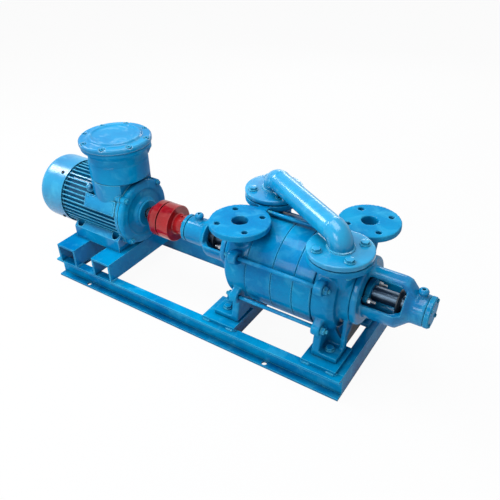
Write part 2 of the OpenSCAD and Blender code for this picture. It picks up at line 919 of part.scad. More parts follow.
module at_pump_bearings() {
    along_shaft(drive_brg_x) children();
    along_shaft(free_brg_x) children();
}

module pump_bearing_outer_rings() {
    color(bright_steel) at_pump_bearings() brg_race(brg_shaft_d, pump_brg_od, pump_brg_w, true);
}

module pump_bearing_inner_rings() {
    color(bright_steel) at_pump_bearings()
        brg_race(brg_shaft_d + 2 * fit, pump_brg_od, pump_brg_w, false);
}

module pump_bearing_balls() {
    color(bright_steel) at_pump_bearings() brg_balls(brg_shaft_d, pump_brg_od, pump_brg_w);
}

// Bearing covers: an open one on the coupling side and a closed cap at the free end
module bearing_covers() {
    lip_r = pump_brg_od / 2 - brg_spigot_clear;
    lip_in = lip_r - 5;
    c = 3;
    color(paint) {
        turned([
            [free_face - brg_back, lip_in], [free_face - brg_back, lip_r], [free_face, lip_r],
            [free_face, housing_r], [free_end - c, housing_r], [free_end, housing_r - c],
            [free_end, 0], [free_end - c, 0], [free_end - c, lip_in]
        ]);
        turned([
            [drive_face + brg_back, lip_in], [drive_face + brg_back, lip_r], [drive_face, lip_r],
            [drive_face, housing_r], [drive_end + c, housing_r], [drive_end, housing_r - c],
            [drive_end, brg_shaft_r + seal_gap], [drive_end + c, brg_shaft_r + seal_gap],
            [drive_end + c, lip_in]
        ]);
    }
}

module grease_cups() {
    color(bronze)
        for (x = [drive_face + drive_housing / 2, free_face - free_housing / 2])
            translate([x, 0, shaft_h + housing_r]) {
                cylinder(h = grease_boss_h - 4, d = grease_d);
                translate([0, 0, grease_boss_h - 4]) hex_bar(4, grease_d * 0.7);
                translate([0, 0, grease_boss_h]) cylinder(h = 5, r1 = grease_d * 0.6, r2 = grease_d * 0.35);
            }
}

// Crossover pipe from the first stage's outlet to the second stage's inlet
pipe_run = sqrt(pow(2 * port_x, 2) + pow(2 * port_y, 2));
pipe_angle = atan2(-2 * port_y, 2 * port_x);
under_pipe = hole_start + hole_step * round((pipe_angle + 360 - hole_start) / hole_step);
pipe_flange_z = port_z + gasket_t;
pipe_flange_top = pipe_flange_z + pipe_flange_t;
pipe_r = pipe_d / 2;
seam_w = 7;
seam_h = 0.8;

// Pipe run in its own plane: up from one flange, across, and down to the other
module pipe_core(r, drop) {
    straight = pipe_run - 2 * bend_r;
    translate([pipe_run / 2, 0, bend_r]) rotate([0, 90, 0]) {
        cylinder(h = straight, r = r, center = true);
        for (m = [-1, 1])
            translate([0, 0, m * straight / 2]) cylinder(h = seam_w, r = r + seam_h, center = true);
    }
    for (m = [0, 1])
        translate([m * pipe_run, 0, 0]) mirror([m, 0, 0]) {
            translate([bend_r, 0, 0]) rotate([90, 0, 0]) rotate([0, 0, 90])
                rotate_extrude(angle = 90) translate([bend_r, 0]) circle(r = r);
            translate([0, 0, -drop]) cylinder(h = drop, r = r);
        }
}

module crossover_pipe() {
    sunk = pipe_flange_t / 2;
    color(paint)
        difference() {
            union() {
                at_pipe_flanges() translate([0, 0, pipe_flange_z]) cylinder(h = pipe_flange_t, d = flange_d);
                at_pipe_run() pipe_core(pipe_r, sunk);
            }
            at_pipe_run() pipe_core(pipe_r - pipe_wall, pipe_flange_t + 1);
            at_pipe_flanges() {
                at_flange_holes(0, 0, pipe_flange_z - 1, holes_but(under_pipe))
                    cylinder(h = pipe_flange_t + 2, d = flange_hole_d);
                at_flange_holes(0, 0, pipe_flange_top, [under_pipe]) flush_screw(pipe_flange_t + 1, fit);
            }
        }
}

module at_pipe_run() {
    translate([pump_x - port_x, port_y, pipe_flange_top]) rotate(pipe_angle) children();
}

module at_pipe_flanges() {
    translate([pump_x - port_x, port_y, 0]) children();
    translate([pump_x + port_x, -port_y, 0]) rotate(180) children();
}

countersink = 6;

// Countersunk screw down from a flange's top face
module flush_screw(length, gap) {
    translate([0, 0, -length]) cylinder(h = length, d = flange_bolt_d + 2 * gap);
    translate([0, 0, -countersink])
        cylinder(h = countersink, r1 = flange_bolt_d / 2 + gap, r2 = flange_bolt_d / 2 + gap + countersink);
}

gasket_margin = 2;

module flange_gaskets() {
    color(rubber) at_pipe_flanges()
        difference() {
            translate([0, 0, port_z])
                cylinder(h = gasket_t, d = flange_pcd - flange_hole_d - gasket_margin);
            translate([0, 0, port_z - 1]) cylinder(h = gasket_t + 2, d = port_d + gasket_margin);
        }
}

// Bolts through the pipe flanges, heads on top and nuts below
flange_bolt_d = 12;
bolt_head_t = 8;
bolt_tail = 5;
flange_nut_z = port_z - port_flange_t - nut_t;

module flange_bolts() {
    length = pipe_flange_top - flange_nut_z + bolt_tail;
    color(paint) at_pipe_flanges() {
        at_flange_holes(0, 0, flange_nut_z - bolt_tail, holes_but(under_pipe)) {
            cylinder(h = length, d = flange_bolt_d);
            translate([0, 0, length]) hex_bar(bolt_head_t, nut_r);
        }
        at_flange_holes(0, 0, pipe_flange_top, [under_pipe])
            flush_screw(pipe_flange_t + gasket_t + port_flange_t - 2, 0);
    }
}

module flange_nuts() {
    color(paint) at_pipe_flanges()
        at_flange_holes(0, 0, flange_nut_z, holes_but(under_pipe))
            difference() {
                hex_bar(nut_t, nut_r);
                translate([0, 0, -1]) cylinder(h = nut_t + 2, d = flange_bolt_d + 2 * fit);
            }
}

module pump_foot_bolts() {
    head_z = bed_top + foot_pad_t;
    color(paint_dark) mirrored_y()
        for (x = [drive_foot_x, free_foot_x])
            translate([x, foot_bolt_y, rail_h]) {
                cylinder(h = head_z - rail_h, d = foot_bolt_d);
                translate([0, 0, head_z - rail_h]) hex_bar(bolt_head_t, nut_r);
            }
}

// Plug screwed into the lower near side of a stuffing box boss
module drain_plug(x, boss_r) {
    plug_head = 8;
    translate([x, 0, shaft_h]) rotate([drain_angle, 0, 0]) translate([0, 0, -boss_r - plug_head]) {
        hex_bar(plug_head, drain_d * 0.75);
        cylinder(h = plug_head + drain_depth - 1, d = drain_d);
    }
}

module drain_plugs() {
    color(paint_dark) {
        drain_plug(drive_boss_end + drive_boss / 2, drive_boss_r);
        drain_plug(free_boss_end - free_boss / 2, free_boss_r);
    }
}

// Motor frame: finned barrel, feet and the round neck that carries the terminal box
pad_angle = 65;
pad_w = 42;
pad_len = 116;
pad_x = shield_x0 - 12 - pad_len;
foot_gap_angle = 50;
fin_step = 360 / fin_count;
fin_tip = fin_r - 1;

module frame_section() {
    circle(r = barrel_r);
    for (i = [0 : fin_count - 1]) {
        a = -180 + fin_step / 2 + i * fin_step;
        if (abs(a) < 180 - foot_gap_angle)
            rotate(a) translate([-fin_tip, -fin_t / 2]) square([fin_tip - barrel_r + 6, fin_t]);
    }
}

ledge_y = 78;
ledge_h = 54;

module foot_section() {
    polygon([
        [-foot_w / 2, -motor_h], [foot_w / 2, -motor_h], [foot_w / 2, -motor_h + foot_h],
        [ledge_y, -motor_h + ledge_h], [ledge_y - 20, 0], [20 - ledge_y, 0],
        [-ledge_y, -motor_h + ledge_h], [-foot_w / 2, -motor_h + foot_h]
    ]);
}

ring_t = 10;
foot_hollow = 44;
foot_pad_h = 20;
pocket_d = 26;
pocket_h = 38;
lug_circle = shield_pcd / 2 + 6;

module motor_frame() {
    color(paint)
        difference() {
            union() {
                along_shaft(barrel_x0) linear_extrude(barrel_len) frame_section();
                shaft_rod(shield_x0 - ring_t, shield_x0, fin_r);
                shaft_rod(barrel_x0, barrel_x0 + ring_t, fin_r - 4);
                around_shaft(shield_x0 - ring_t - 6, 4, lug_circle, 45)
                    cylinder(h = ring_t + 6 - slip, r = shield_lug_r);
                translate([foot_mid - foot_len / 2, 0, shaft_h]) rotate([90, 0, 90])
                    linear_extrude(foot_len) foot_section();
                intersection() {
                    translate([box_x, 0, shaft_h]) cylinder(h = box_floor_h, r = box_r);
                    translate([box_x - box_r, -box_r, shaft_h])
                        cube([shield_x0 - neck_short - box_x + box_r, 2 * box_r, box_floor_h]);
                }
                around_shaft(pad_x, 1, 0, pad_angle)
                    translate([-fin_r - 1, -pad_w / 2, 0]) cube([fin_r - bore_r, pad_w, pad_len]);
            }
            shaft_rod(barrel_x0 - 1, shield_x0 + 1, bore_r);
            translate([foot_mid - foot_len / 2 - 1, -foot_hollow, motor_base - 1])
                cube([foot_len + 2, 2 * foot_hollow, 14]);
            for (x = [foot_x0, foot_x1])
                for (s = [-1, 1])
                    translate([x, s * foot_a / 2, motor_base]) {
                        translate([0, 0, -1]) cylinder(h = foot_h, d = foot_bolt_d + 2);
                        translate([0, 0, foot_pad_h]) cylinder(h = pocket_h, d = pocket_d);
                    }
            around_shaft(shield_x0 - ring_t - 7, 4, lug_circle, 45)
                cylinder(h = ring_t + 8, d = shield_bolt_d + 2 * fit);
            translate([box_x, 0, shaft_h]) cylinder(h = box_floor_h + 1, r = lead_hole_r);
        }
}

lead_hole_r = 22;
neck_short = 2;

module stator_core() {
    color(iron) shaft_tube(core_x0, core_x0 + core_len, bore_r - fit, rotor_r + air_gap);
}

winding_len = 24;

module stator_windings() {
    color(copper)
        for (x = [core_x0 - winding_len, core_x0 + core_len])
            shaft_tube(x, x + winding_len, bore_r - 10, rotor_r + 8);
}

// Dished drive end shield with four bolt lugs
module drive_end_shield() {
    brg_bore = motor_brg_od / 2 + fit;
    lip = 6;
    color(paint)
        difference() {
            union() {
                turned([
                    [shield_x0 - lip, bore_r - 8], [shield_x0 - lip, bore_r - fit], [shield_x0, bore_r - fit],
                    [shield_x0, fin_r], [shield_x0 + 12, fin_r], [shield_x0 + 17, fin_r - 6],
                    [shield_x0 + 19, 72], [shield_x0 + 15, 67], [shield_x0 + 17, brg_bore + 14],
                    [shield_x1, brg_bore + 9], [shield_x1, brg_bore], [drive_motor_brg, brg_bore],
                    [drive_motor_brg, motor_brg_id / 2 + 6], [drive_motor_brg - 4, motor_brg_id / 2 + 6],
                    [drive_motor_brg - 4, brg_bore + 5], [shield_x0 + 3, brg_bore + 9],
                    [shield_x0 + 4, bore_r - 14]
                ]);
                around_shaft(shield_x0, 4, lug_circle, 45) cylinder(h = shield_lug_t, r = shield_lug_r);
            }
            around_shaft(shield_x0 - 1, 4, lug_circle, 45)
                cylinder(h = shield_lug_t + 2, d = shield_bolt_d + 2 * fit);
        }
}

module fan_end_shield() {
    brg_bore = motor_brg_od / 2 + fit;
    x1 = barrel_x0;
    lip = 6;
    lug_x = x1 - fan_shield_t + cowl_lug_in;
    lug_len = fan_shield_t - 2 * cowl_lug_in;
    color(paint) {
        turned([
            [x1 + lip, bore_r - 8], [x1 + lip, bore_r - fit], [x1, bore_r - fit], [x1, fin_r - 6],
            [x1 - fan_shield_t, fin_r - 6], [x1 - fan_shield_t - 4, brg_bore + 10],
            [fan_motor_brg - 2, brg_bore + 8], [fan_motor_brg - 2, motor_brg_id / 2 + 4],
            [fan_motor_brg, motor_brg_id / 2 + 4], [fan_motor_brg, brg_bore],
            [fan_motor_brg + motor_brg_w + 4, brg_bore], [fan_motor_brg + motor_brg_w + 4, bore_r - 14]
        ]);
        intersection() {
            shaft_rod(lug_x - 1, lug_x + lug_len + 1, cowl_r - cowl_wall - fit);
            around_shaft(lug_x, 4, 0, 45) translate([-cowl_r, -cowl_lug_w / 2, 0])
                cube([cowl_r - fin_r + cowl_lug_h, cowl_lug_w, lug_len]);
        }
    }
}

// Lugs that carry the fan cowl
cowl_lug_in = 2;
cowl_lug_w = 16;
cowl_lug_h = 14;

// Outer bearing cap on the drive end shield
module motor_bearing_cap() {
    cap_r = motor_brg_od / 2 + 8;
    color(paint)
        turned([
            [shield_x1, motor_shaft_d / 2 + 3], [shield_x1, cap_r], [shield_x1 + cap_t - 2, cap_r],
            [shield_x1 + cap_t, cap_r - 2], [shield_x1 + cap_t, motor_shaft_d / 2 + 3]
        ]);
}

module at_motor_bearings() {
    along_shaft(drive_motor_brg) children();
    along_shaft(fan_motor_brg) children();
}

module motor_bearing_outer_rings() {
    color(bright_steel) at_motor_bearings() brg_race(motor_brg_id, motor_brg_od, motor_brg_w, true);
}

module motor_bearing_inner_rings() {
    color(bright_steel) at_motor_bearings()
        brg_race(motor_brg_id + 2 * fit, motor_brg_od, motor_brg_w, false);
}

module motor_bearing_balls() {
    color(bright_steel) at_motor_bearings() brg_balls(motor_brg_id, motor_brg_od, motor_brg_w);
}

// Pressed fan cowl, rounded at the back, with a slotted air inlet
slot_count = 20;
slot_w = 5;

module cowl_profile(r, x_back, corner) {
    polygon(concat(
        [[0, x_back]],
        [for (a = [0 : 15 : 90]) [r - corner + corner * sin(a), x_back + corner - corner * cos(a)]],
        [[r, cowl_x1], [0, cowl_x1]]
    ));
}

module fan_cowl() {
    color(paint)
        difference() {
            along_shaft(0) rotate_extrude() cowl_profile(cowl_r, cowl_x0, cowl_corner);
            along_shaft(0) rotate_extrude()
                cowl_profile(cowl_r - cowl_wall, cowl_x0 + cowl_wall, cowl_corner - cowl_wall);
            shaft_rod(cowl_x1 - 1, cowl_x1 + 1, cowl_r - cowl_wall);
            around_shaft(cowl_x0 - 1, slot_count, 46)
                translate([-12, -slot_w / 2, 0]) cube([30, slot_w, cowl_wall + 2]);
        }
}

// Flameproof terminal box: round, with a heavy flange for its lid
module terminal_box() {
    floor_t = 10;
    z0 = shaft_h + box_floor_h;
    z1 = shaft_h + lid_bottom_h;
    color(paint)
        difference() {
            union() {
                translate([box_x, 0, z0]) cylinder(h = z1 - z0, r = box_r - box_step);
                translate([box_x, 0, z0]) cylinder(h = box_step_h, r = box_r);
                translate([box_x, 0, z1 - box_flange_t]) cylinder(h = box_flange_t, r = lid_r - lid_over);
                translate([box_x, 0, z1 - box_flange_t - box_flare])
                    cylinder(h = box_flare, r1 = box_r - box_step, r2 = lid_r - lid_over - 2);
                translate([box_x, box_r - 6, z0 + gland_h]) rotate([-90, 0, 0])
                    cylinder(h = gland_boss, r = gland_r + 8);
            }
            translate([box_x, 0, z0 + floor_t]) cylinder(h = z1 - z0, r = box_r - box_wall);
            translate([box_x, 0, z0 - 1]) cylinder(h = floor_t + 2, r = lead_hole_r);
            translate([box_x, 0, z0 + gland_h]) rotate([-90, 0, 0])
                cylinder(h = box_r + gland_boss, r = gland_r + fit);
            for (i = [0 : lid_bolts_n - 1])
                translate([box_x, 0, z1 - box_flange_t - 1]) rotate((i + 0.5) * 360 / lid_bolts_n)
                    translate([lid_pcd / 2, 0, 0]) cylinder(h = box_flange_t + 2, d = lid_bolt_d + 2 * fit);
        }
}

box_step = 2.5;
box_step_h = 50;
box_flare = 14;
lid_over = 3;
gland_h = 42;
gland_r = 18;
gland_boss = 16;

// Raised ring of the lid, around its flat middle
ring_foot = 10;
ring_w = 5;
ring_drop = 3;

module terminal_box_lid() {
    z1 = shaft_h + lid_bottom_h;
    c = 4;
    color(paint)
        difference() {
            translate([box_x, 0, z1]) rotate_extrude()
                polygon([
                    [0, 0], [lid_r, 0], [lid_r, lid_t - c], [lid_r - c, lid_t],
                    [lid_boss_r + ring_foot, lid_t], [lid_boss_r + ring_w, lid_t + lid_boss_h],
                    [lid_boss_r, lid_t + lid_boss_h], [lid_boss_r - ring_w, lid_t + lid_boss_h - ring_drop],
                    [0, lid_t + lid_boss_h - ring_drop]
                ]);
            for (i = [0 : lid_bolts_n - 1])
                translate([box_x, 0, z1 - 1]) rotate((i + 0.5) * 360 / lid_bolts_n)
                    translate([lid_pcd / 2, 0, 0]) {
                        cylinder(h = lid_t + 2, d = lid_bolt_d + 1);
                        translate([0, 0, lid_t - 5]) cylinder(h = 10, d = lid_bolt_d * 2);
                    }
        }
}

module lid_bolts() {
    z1 = shaft_h + lid_bottom_h;
    color(steel)
        for (i = [0 : lid_bolts_n - 1])
            translate([box_x, 0, z1 - box_flange_t]) rotate((i + 0.5) * 360 / lid_bolts_n)
                translate([lid_pcd / 2, 0, 0]) {
                    cylinder(h = box_flange_t + lid_t - 6, d = lid_bolt_d);
                    translate([0, 0, box_flange_t + lid_t - 6]) cylinder(h = 6, d = lid_bolt_d * 1.6);
                }
}

module terminal_board() {
    z0 = shaft_h + box_floor_h + 10;
    color(iron)
        difference() {
            translate([box_x - 36, 26, z0]) cube([72, 30, 16]);
            for (i = [-1 : 1])
                translate([box_x + i * 22, 41, z0 + 6]) cylinder(h = 20, d = 6);
        }
}

// Cable gland with a closed blanking plug
module cable_gland() {
    y0 = box_r - box_wall;
    reach = box_wall - 6 + gland_boss + 6;
    color(paint_dark)
        translate([box_x, y0, shaft_h + box_floor_h + gland_h]) rotate([-90, 0, 0]) {
            cylinder(h = reach + 4, r = gland_r);
            translate([0, 0, box_wall + gland_boss - 6]) hex_bar(16, gland_r + 7);
            translate([0, 0, box_wall + gland_boss + 10])
                cylinder(h = 14, r1 = gland_r + 2, r2 = gland_r - 3);
        }
}

module motor_foot_bolts() {
    length = bearer_t + foot_pad_h;
    color(paint_dark)
        for (x = [foot_x0, foot_x1])
            for (s = [-1, 1])
                translate([x, s * foot_a / 2, motor_base - bearer_t]) {
                    cylinder(h = length, d = foot_bolt_d);
                    translate([0, 0, length]) hex_bar(bolt_head_t, nut_r);
                }
}

module shield_bolts() {
    color(steel)
        around_shaft(shield_x0 - ring_t, 4, lug_circle, 45) {
            cylinder(h = ring_t + shield_lug_t, d = shield_bolt_d);
            translate([0, 0, ring_t + shield_lug_t]) hex_bar(6, shield_bolt_d * 0.85);
        }
}

module motor_shaft() {
    seat = motor_brg_id / 2;
    end_r = motor_shaft_d / 2;
    core_r = seat + 4;
    color(bright_steel)
        turned([
            [motor_tail, 0], [motor_tail, seat - 4], [fan_motor_brg - 4, seat - 4], [fan_motor_brg - 4, seat],
            [fan_motor_brg + motor_brg_w + 1, seat], [fan_motor_brg + motor_brg_w + 1, core_r],
            [drive_motor_brg - 1, core_r], [drive_motor_brg - 1, seat], [shield_x1, seat], [shield_x1, end_r],
            [motor_shaft_x1 - 2, end_r], [motor_shaft_x1, end_r - 2], [motor_shaft_x1, 0]
        ]);
}

module rotor_core() {
    color(iron) shaft_tube(core_x0, core_x0 + core_len, rotor_r, motor_brg_id / 2 + 4 + fit);
}

// Radial fan on the tail of the motor shaft
fan_blades = 8;
fan_r = 78;

module cooling_fan() {
    x0 = motor_tail + 4;
    bore = motor_brg_id / 2 - 4 + fit;
    color(rubber)
        difference() {
            union() {
                shaft_rod(x0, x0 + fan_hub_t, 24);
                shaft_rod(x0 + fan_hub_t - 4, x0 + fan_hub_t, fan_r);
                around_shaft(x0 - 8, fan_blades, 0)
                    translate([-fan_r, -1.5, 0]) cube([fan_r - 18, 3, fan_hub_t + 6]);
            }
            shaft_rod(x0 - 9, x0 + fan_hub_t + 9, bore);
        }
}

// Coupling halves with rounded shoulders; pins in the motor half, rubber bushes in the pump half
cpl_hub_r = 34;

module motor_coupling_half() {
    x0 = motor_half_x0;
    x1 = motor_half_x1;
    bore = motor_shaft_d / 2 + fit;
    color(red_paint)
        difference() {
            turned([
                [x0, bore], [x0, cpl_hub_r], [x0 + 10, cpl_hub_r + 1], [x0 + 18, cpl_hub_r + 9],
                [x0 + 26, cpl_r - 3], [x0 + 32, cpl_r], [x1 - 1, cpl_r], [x1, cpl_r - 1], [x1, bore]
            ]);
            around_shaft(x1 - pin_in, pin_count, pin_circle) cylinder(h = pin_in + 1, d = pin_d + 2 * fit);
        }
}

pin_in = 18;
pin_out = 36;

module coupling_pins() {
    color(steel)
        around_shaft(motor_half_x1 - pin_in, pin_count, pin_circle)
            cylinder(h = pin_in + cpl_gap + pin_out, d = pin_d);
}

module pump_coupling_half() {
    x0 = pump_half_x0;
    x1 = pump_half_x1;
    bore = pump_end_d / 2 + fit;
    color(red_paint)
        difference() {
            turned([
                [x0, bore], [x0, cpl_r - 1], [x0 + 1, cpl_r], [x1 - 30, cpl_r], [x1 - 22, cpl_r - 3],
                [x1 - 14, cpl_hub_r + 9], [x1 - 7, cpl_hub_r], [x1, cpl_hub_r - 2], [x1, bore]
            ]);
            around_shaft(x0 - 1, pin_count, pin_circle) cylinder(h = pin_out + 2, r = bush_r + fit);
        }
}

module coupling_bushes() {
    color(rubber)
        around_shaft(pump_half_x0, pin_count, pin_circle)
            difference() {
                cylinder(h = pin_out, r = bush_r);
                translate([0, 0, -1]) cylinder(h = pin_out + 2, d = pin_d + 2 * fit);
            }
}

shaft_free_x1 = free_face - 1;
journal_in = 4;

module pump_shaft() {
    seat = brg_shaft_r;
    main = pump_shaft_r;
    end_r = pump_end_d / 2;
    drive_step = drive_brg_x + pump_brg_w + journal_in;
    free_step = free_brg_x - journal_in;
    color(bright_steel)
        turned([
            [pump_shaft_x0, 0], [pump_shaft_x0, end_r - 2], [pump_shaft_x0 + 2, end_r],
            [pump_half_x1 + 1, end_r], [pump_half_x1 + 1, seat], [drive_step, seat], [drive_step, main],
            [free_step, main], [free_step, seat], [shaft_free_x1, seat], [shaft_free_x1, 0]
        ]);
}

// Blade outline: from the hub to the rim, swept forward towards its tip
function blade_mid(t) = let (r = hub_r - 3 + t * (impeller_r - hub_r + 3))
    [r, blade_sweep * t * t];
function blade_side(t, s) = let (m = blade_mid(t), a = m[1] + s * blade_t / 2 / m[0] * 180 / PI)
    [m[0] * cos(a), m[0] * sin(a)];
blade_steps = 6;

module blade_section() {
    polygon(concat(
        [for (i = [0 : blade_steps]) blade_side(i / blade_steps, -1)],
        [for (i = [blade_steps : -1 : 0]) blade_side(i / blade_steps, 1)]
    ));
}

module impeller(x0, x1) {
    color(bronze)
        difference() {
            union() {
                shaft_rod(x0, x1, hub_r);
                along_shaft(x0) linear_extrude(x1 - x0)
                    for (i = [0 : blade_count - 1])
                        rotate(i * 360 / blade_count) blade_section();
            }
            shaft_rod(x0 - 1, x1 + 1, pump_shaft_r + fit);
        }
}

module first_stage_impeller() {
    impeller(joint_1 + port_plate_t + side_gap, joint_2 - side_gap);
}

module second_stage_impeller() {
    impeller(joint_3 + side_gap, joint_4 - port_plate_t - side_gap);
}

// Rings on the shaft that throw gland leakage into the troughs
slinger_t = 8;
slinger_r = 30;

module slinger() {
    rotate_extrude()
        polygon([
            [pump_shaft_r + fit, 0], [slinger_r, 0], [slinger_r, 3],
            [pump_shaft_r + 5, slinger_t], [pump_shaft_r + fit, slinger_t]
        ]);
}

module shaft_slingers() {
    back = 18;
    color(rubber) {
        along_shaft(free_housing_x - back - 14) slinger();
        translate([drive_housing_x + back + 14, 0, shaft_h]) rotate([0, -90, 0]) slinger();
    }
}

front_rail();
rear_rail();
end_beams();
motor_bearers();
pump_cross_beams();
bed_plates();
drive_cover();
free_cover();
first_stage_casing();
interstage_body();
second_stage_casing();
port_plates();
tie_rods();
tie_rod_nuts();
drive_bearing_bracket();
free_bearing_bracket();
packing_rings();
gland_followers();
gland_studs();
pump_bearing_outer_rings();
bearing_covers();
grease_cups();
crossover_pipe();
flange_gaskets();
flange_bolts();
flange_nuts();
pump_foot_bolts();
drain_plugs();
motor_frame();
stator_core();
stator_windings();
drive_end_shield();
fan_end_shield();
motor_bearing_cap();
motor_bearing_outer_rings();
fan_cowl();
terminal_box();
terminal_box_lid();
lid_bolts();
terminal_board();
cable_gland();
motor_foot_bolts();
shield_bolts();
motor_shaft();
rotor_core();
cooling_fan();
motor_bearing_inner_rings();
motor_bearing_balls();
motor_coupling_half();
coupling_pins();
pump_shaft();
first_stage_impeller();
second_stage_impeller();
pump_bearing_inner_rings();
pump_bearing_balls();
shaft_slingers();
pump_coupling_half();
coupling_bushes();
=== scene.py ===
"""Looks of a two-stage liquid ring vacuum pump set with its flameproof motor, in metres."""
import math

import bmesh
import bpy
from mathutils import Matrix, Vector


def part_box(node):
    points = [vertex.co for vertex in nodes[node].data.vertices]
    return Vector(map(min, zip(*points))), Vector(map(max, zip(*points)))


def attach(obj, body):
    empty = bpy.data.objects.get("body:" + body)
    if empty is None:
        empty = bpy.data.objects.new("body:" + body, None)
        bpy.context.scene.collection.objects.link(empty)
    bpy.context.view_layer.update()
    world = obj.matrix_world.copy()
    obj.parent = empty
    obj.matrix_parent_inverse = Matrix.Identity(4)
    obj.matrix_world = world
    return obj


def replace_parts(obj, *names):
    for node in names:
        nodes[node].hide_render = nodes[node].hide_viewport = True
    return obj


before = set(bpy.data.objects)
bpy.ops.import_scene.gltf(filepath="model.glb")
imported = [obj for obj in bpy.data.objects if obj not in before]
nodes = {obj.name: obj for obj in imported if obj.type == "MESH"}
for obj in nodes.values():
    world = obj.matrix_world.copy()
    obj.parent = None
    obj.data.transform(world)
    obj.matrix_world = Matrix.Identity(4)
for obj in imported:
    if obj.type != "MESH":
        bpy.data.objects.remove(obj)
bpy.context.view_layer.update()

# Studio: a pale floor, a white surround and five soft lamps.
# The camera stands where the photograph was taken from, above the pump's free end on its near side.
scene = bpy.context.scene
scene.view_settings.view_transform = "Standard"

camera_place = Vector((0.86096, -1.03352, 1.07222))
camera_azimuth = math.radians(33.54)
camera_elevation = math.radians(34.57)
camera_roll = math.radians(-1.106)
sensor_mm = 36
focal_mm = 41.35
near_clip = 0.05
far_clip = 50

camera = bpy.data.objects.new("camera", bpy.data.cameras.new("camera"))
camera.data.sensor_width = sensor_mm
camera.data.lens = focal_mm
camera.data.clip_start = near_clip
camera.data.clip_end = far_clip
camera.matrix_world = (
    Matrix.Translation(camera_place)
    @ Matrix.Rotation(camera_azimuth, 4, "Z")
    @ Matrix.Rotation(math.pi / 2 - camera_elevation, 4, "X")
    @ Matrix.Rotation(camera_roll, 4, "Z")
)
scene.collection.objects.link(camera)
scene.camera = camera


class Shade:
    """A socket of a node tree, with arithmetic that adds Math nodes."""

    def __init__(self, tree, socket=None):
        self.tree = tree
        self.socket = socket

    def node(self, kind, settings=None, sockets=None, out=0):
        """Adds a node: its settings first, then the values or links of its sockets."""
        made = self.tree.nodes.new(kind)
        for name, value in (settings or {}).items():
            setattr(made, name, value)
        for key, value in (sockets or {}).items():
            if isinstance(value, Shade):
                self.tree.links.new(value.socket, made.inputs[key])
            else:
                made.inputs[key].default_value = value
        return Shade(self.tree, made.outputs[out] if made.outputs else None)

    def maths(self, operation, a, b, clamp=False):
        return self.node("ShaderNodeMath", {"operation": operation, "use_clamp": clamp}, {0: a, 1: b})

    def __add__(self, other):
        return self.maths("ADD", self, other)

    def __sub__(self, other):
        return self.maths("SUBTRACT", self, other)

    def __rsub__(self, other):
        return self.maths("SUBTRACT", other, self)

    def __mul__(self, other):
        return self.maths("MULTIPLY", self, other)

    __radd__ = __add__
    __rmul__ = __mul__

    def clamped(self):
        return self.maths("ADD", self, 0.0, clamp=True)

    def blend(self, low, high):
        """A colour between two, by this value."""
        return self.node("ShaderNodeMix", {"data_type": "RGBA"}, {0: self, 6: low, 7: high}, out=2)


def linear(red, green, blue):
    """A colour from its 0 to 255 screen values."""
    def channel(value):
        share = value / 255
        return share / 12.92 if share <= 0.04045 else ((share + 0.055) / 1.055) ** 2.4
    return (channel(red), channel(green), channel(blue), 1.0)


def fresh_tree(owner):
    owner.use_nodes = True
    owner.node_tree.nodes.clear()
    return Shade(owner.node_tree)


def seen_directly(shade):
    """1 where the camera, a reflection or clear glass sees the surround, and 0 for the light it gives."""
    rays = ("Is Camera Ray", "Is Glossy Ray", "Is Transmission Ray")
    path = shade.node("ShaderNodeLightPath").socket.node
    camera_ray, glossy_ray, clear_ray = (Shade(shade.tree, path.outputs[ray]) for ray in rays)
    return (camera_ray + glossy_ray + clear_ray).clamped()


white = (1.0, 1.0, 1.0, 1.0)
sky_colour = (0.95, 0.98, 1.0, 1.0)
sky_strength = 0.33
world = bpy.data.worlds.new("studio")
scene.world = world
sky = fresh_tree(world)
sky_light = sky.node("ShaderNodeBackground", None, {"Color": sky_colour, "Strength": sky_strength})
sky_seen = sky.node("ShaderNodeBackground", None, {"Color": white, "Strength": 1.0})
sky_mixed = sky.node("ShaderNodeMixShader", None, {0: seen_directly(sky), 1: sky_light, 2: sky_seen})
sky.node("ShaderNodeOutputWorld", None, {"Surface": sky_mixed})

floor_half = 8.0
floor_gap = 0.0005
floor_colour = (0.62, 0.64, 0.66, 1.0)
floor_white_share = 0.95
floor_mesh = bpy.data.meshes.new("floor")
floor_corners = [(x * floor_half, y * floor_half, 0) for x, y in ((-1, -1), (1, -1), (1, 1), (-1, 1))]
floor_mesh.from_pydata(floor_corners, [], [(0, 1, 2, 3)])
floor = bpy.data.objects.new("floor", floor_mesh)
floor.location.z = -floor_gap
scene.collection.objects.link(floor)
floor_paint = bpy.data.materials.new("floor")
floor_mesh.materials.append(floor_paint)
ground = fresh_tree(floor_paint)
ground_lit = ground.node("ShaderNodeBsdfDiffuse", None, {"Color": floor_colour})
ground_seen = ground.node("ShaderNodeEmission", None, {"Color": white, "Strength": 1.0})
ground_mixed = ground.node("ShaderNodeMixShader", None, {
    0: seen_directly(ground) * floor_white_share, 1: ground_lit, 2: ground_seen})
ground.node("ShaderNodeOutputMaterial", None, {"Surface": ground_mixed})


def soft_lamp(name, place, target, width, height, power):
    lamp = bpy.data.lights.new(name, "AREA")
    lamp.shape = "RECTANGLE"
    lamp.size = width
    lamp.size_y = height
    lamp.energy = power
    carrier = bpy.data.objects.new(name, lamp)
    carrier.location = place
    carrier.rotation_euler = (Vector(target) - Vector(place)).to_track_quat("-Z", "Y").to_euler()
    scene.collection.objects.link(carrier)


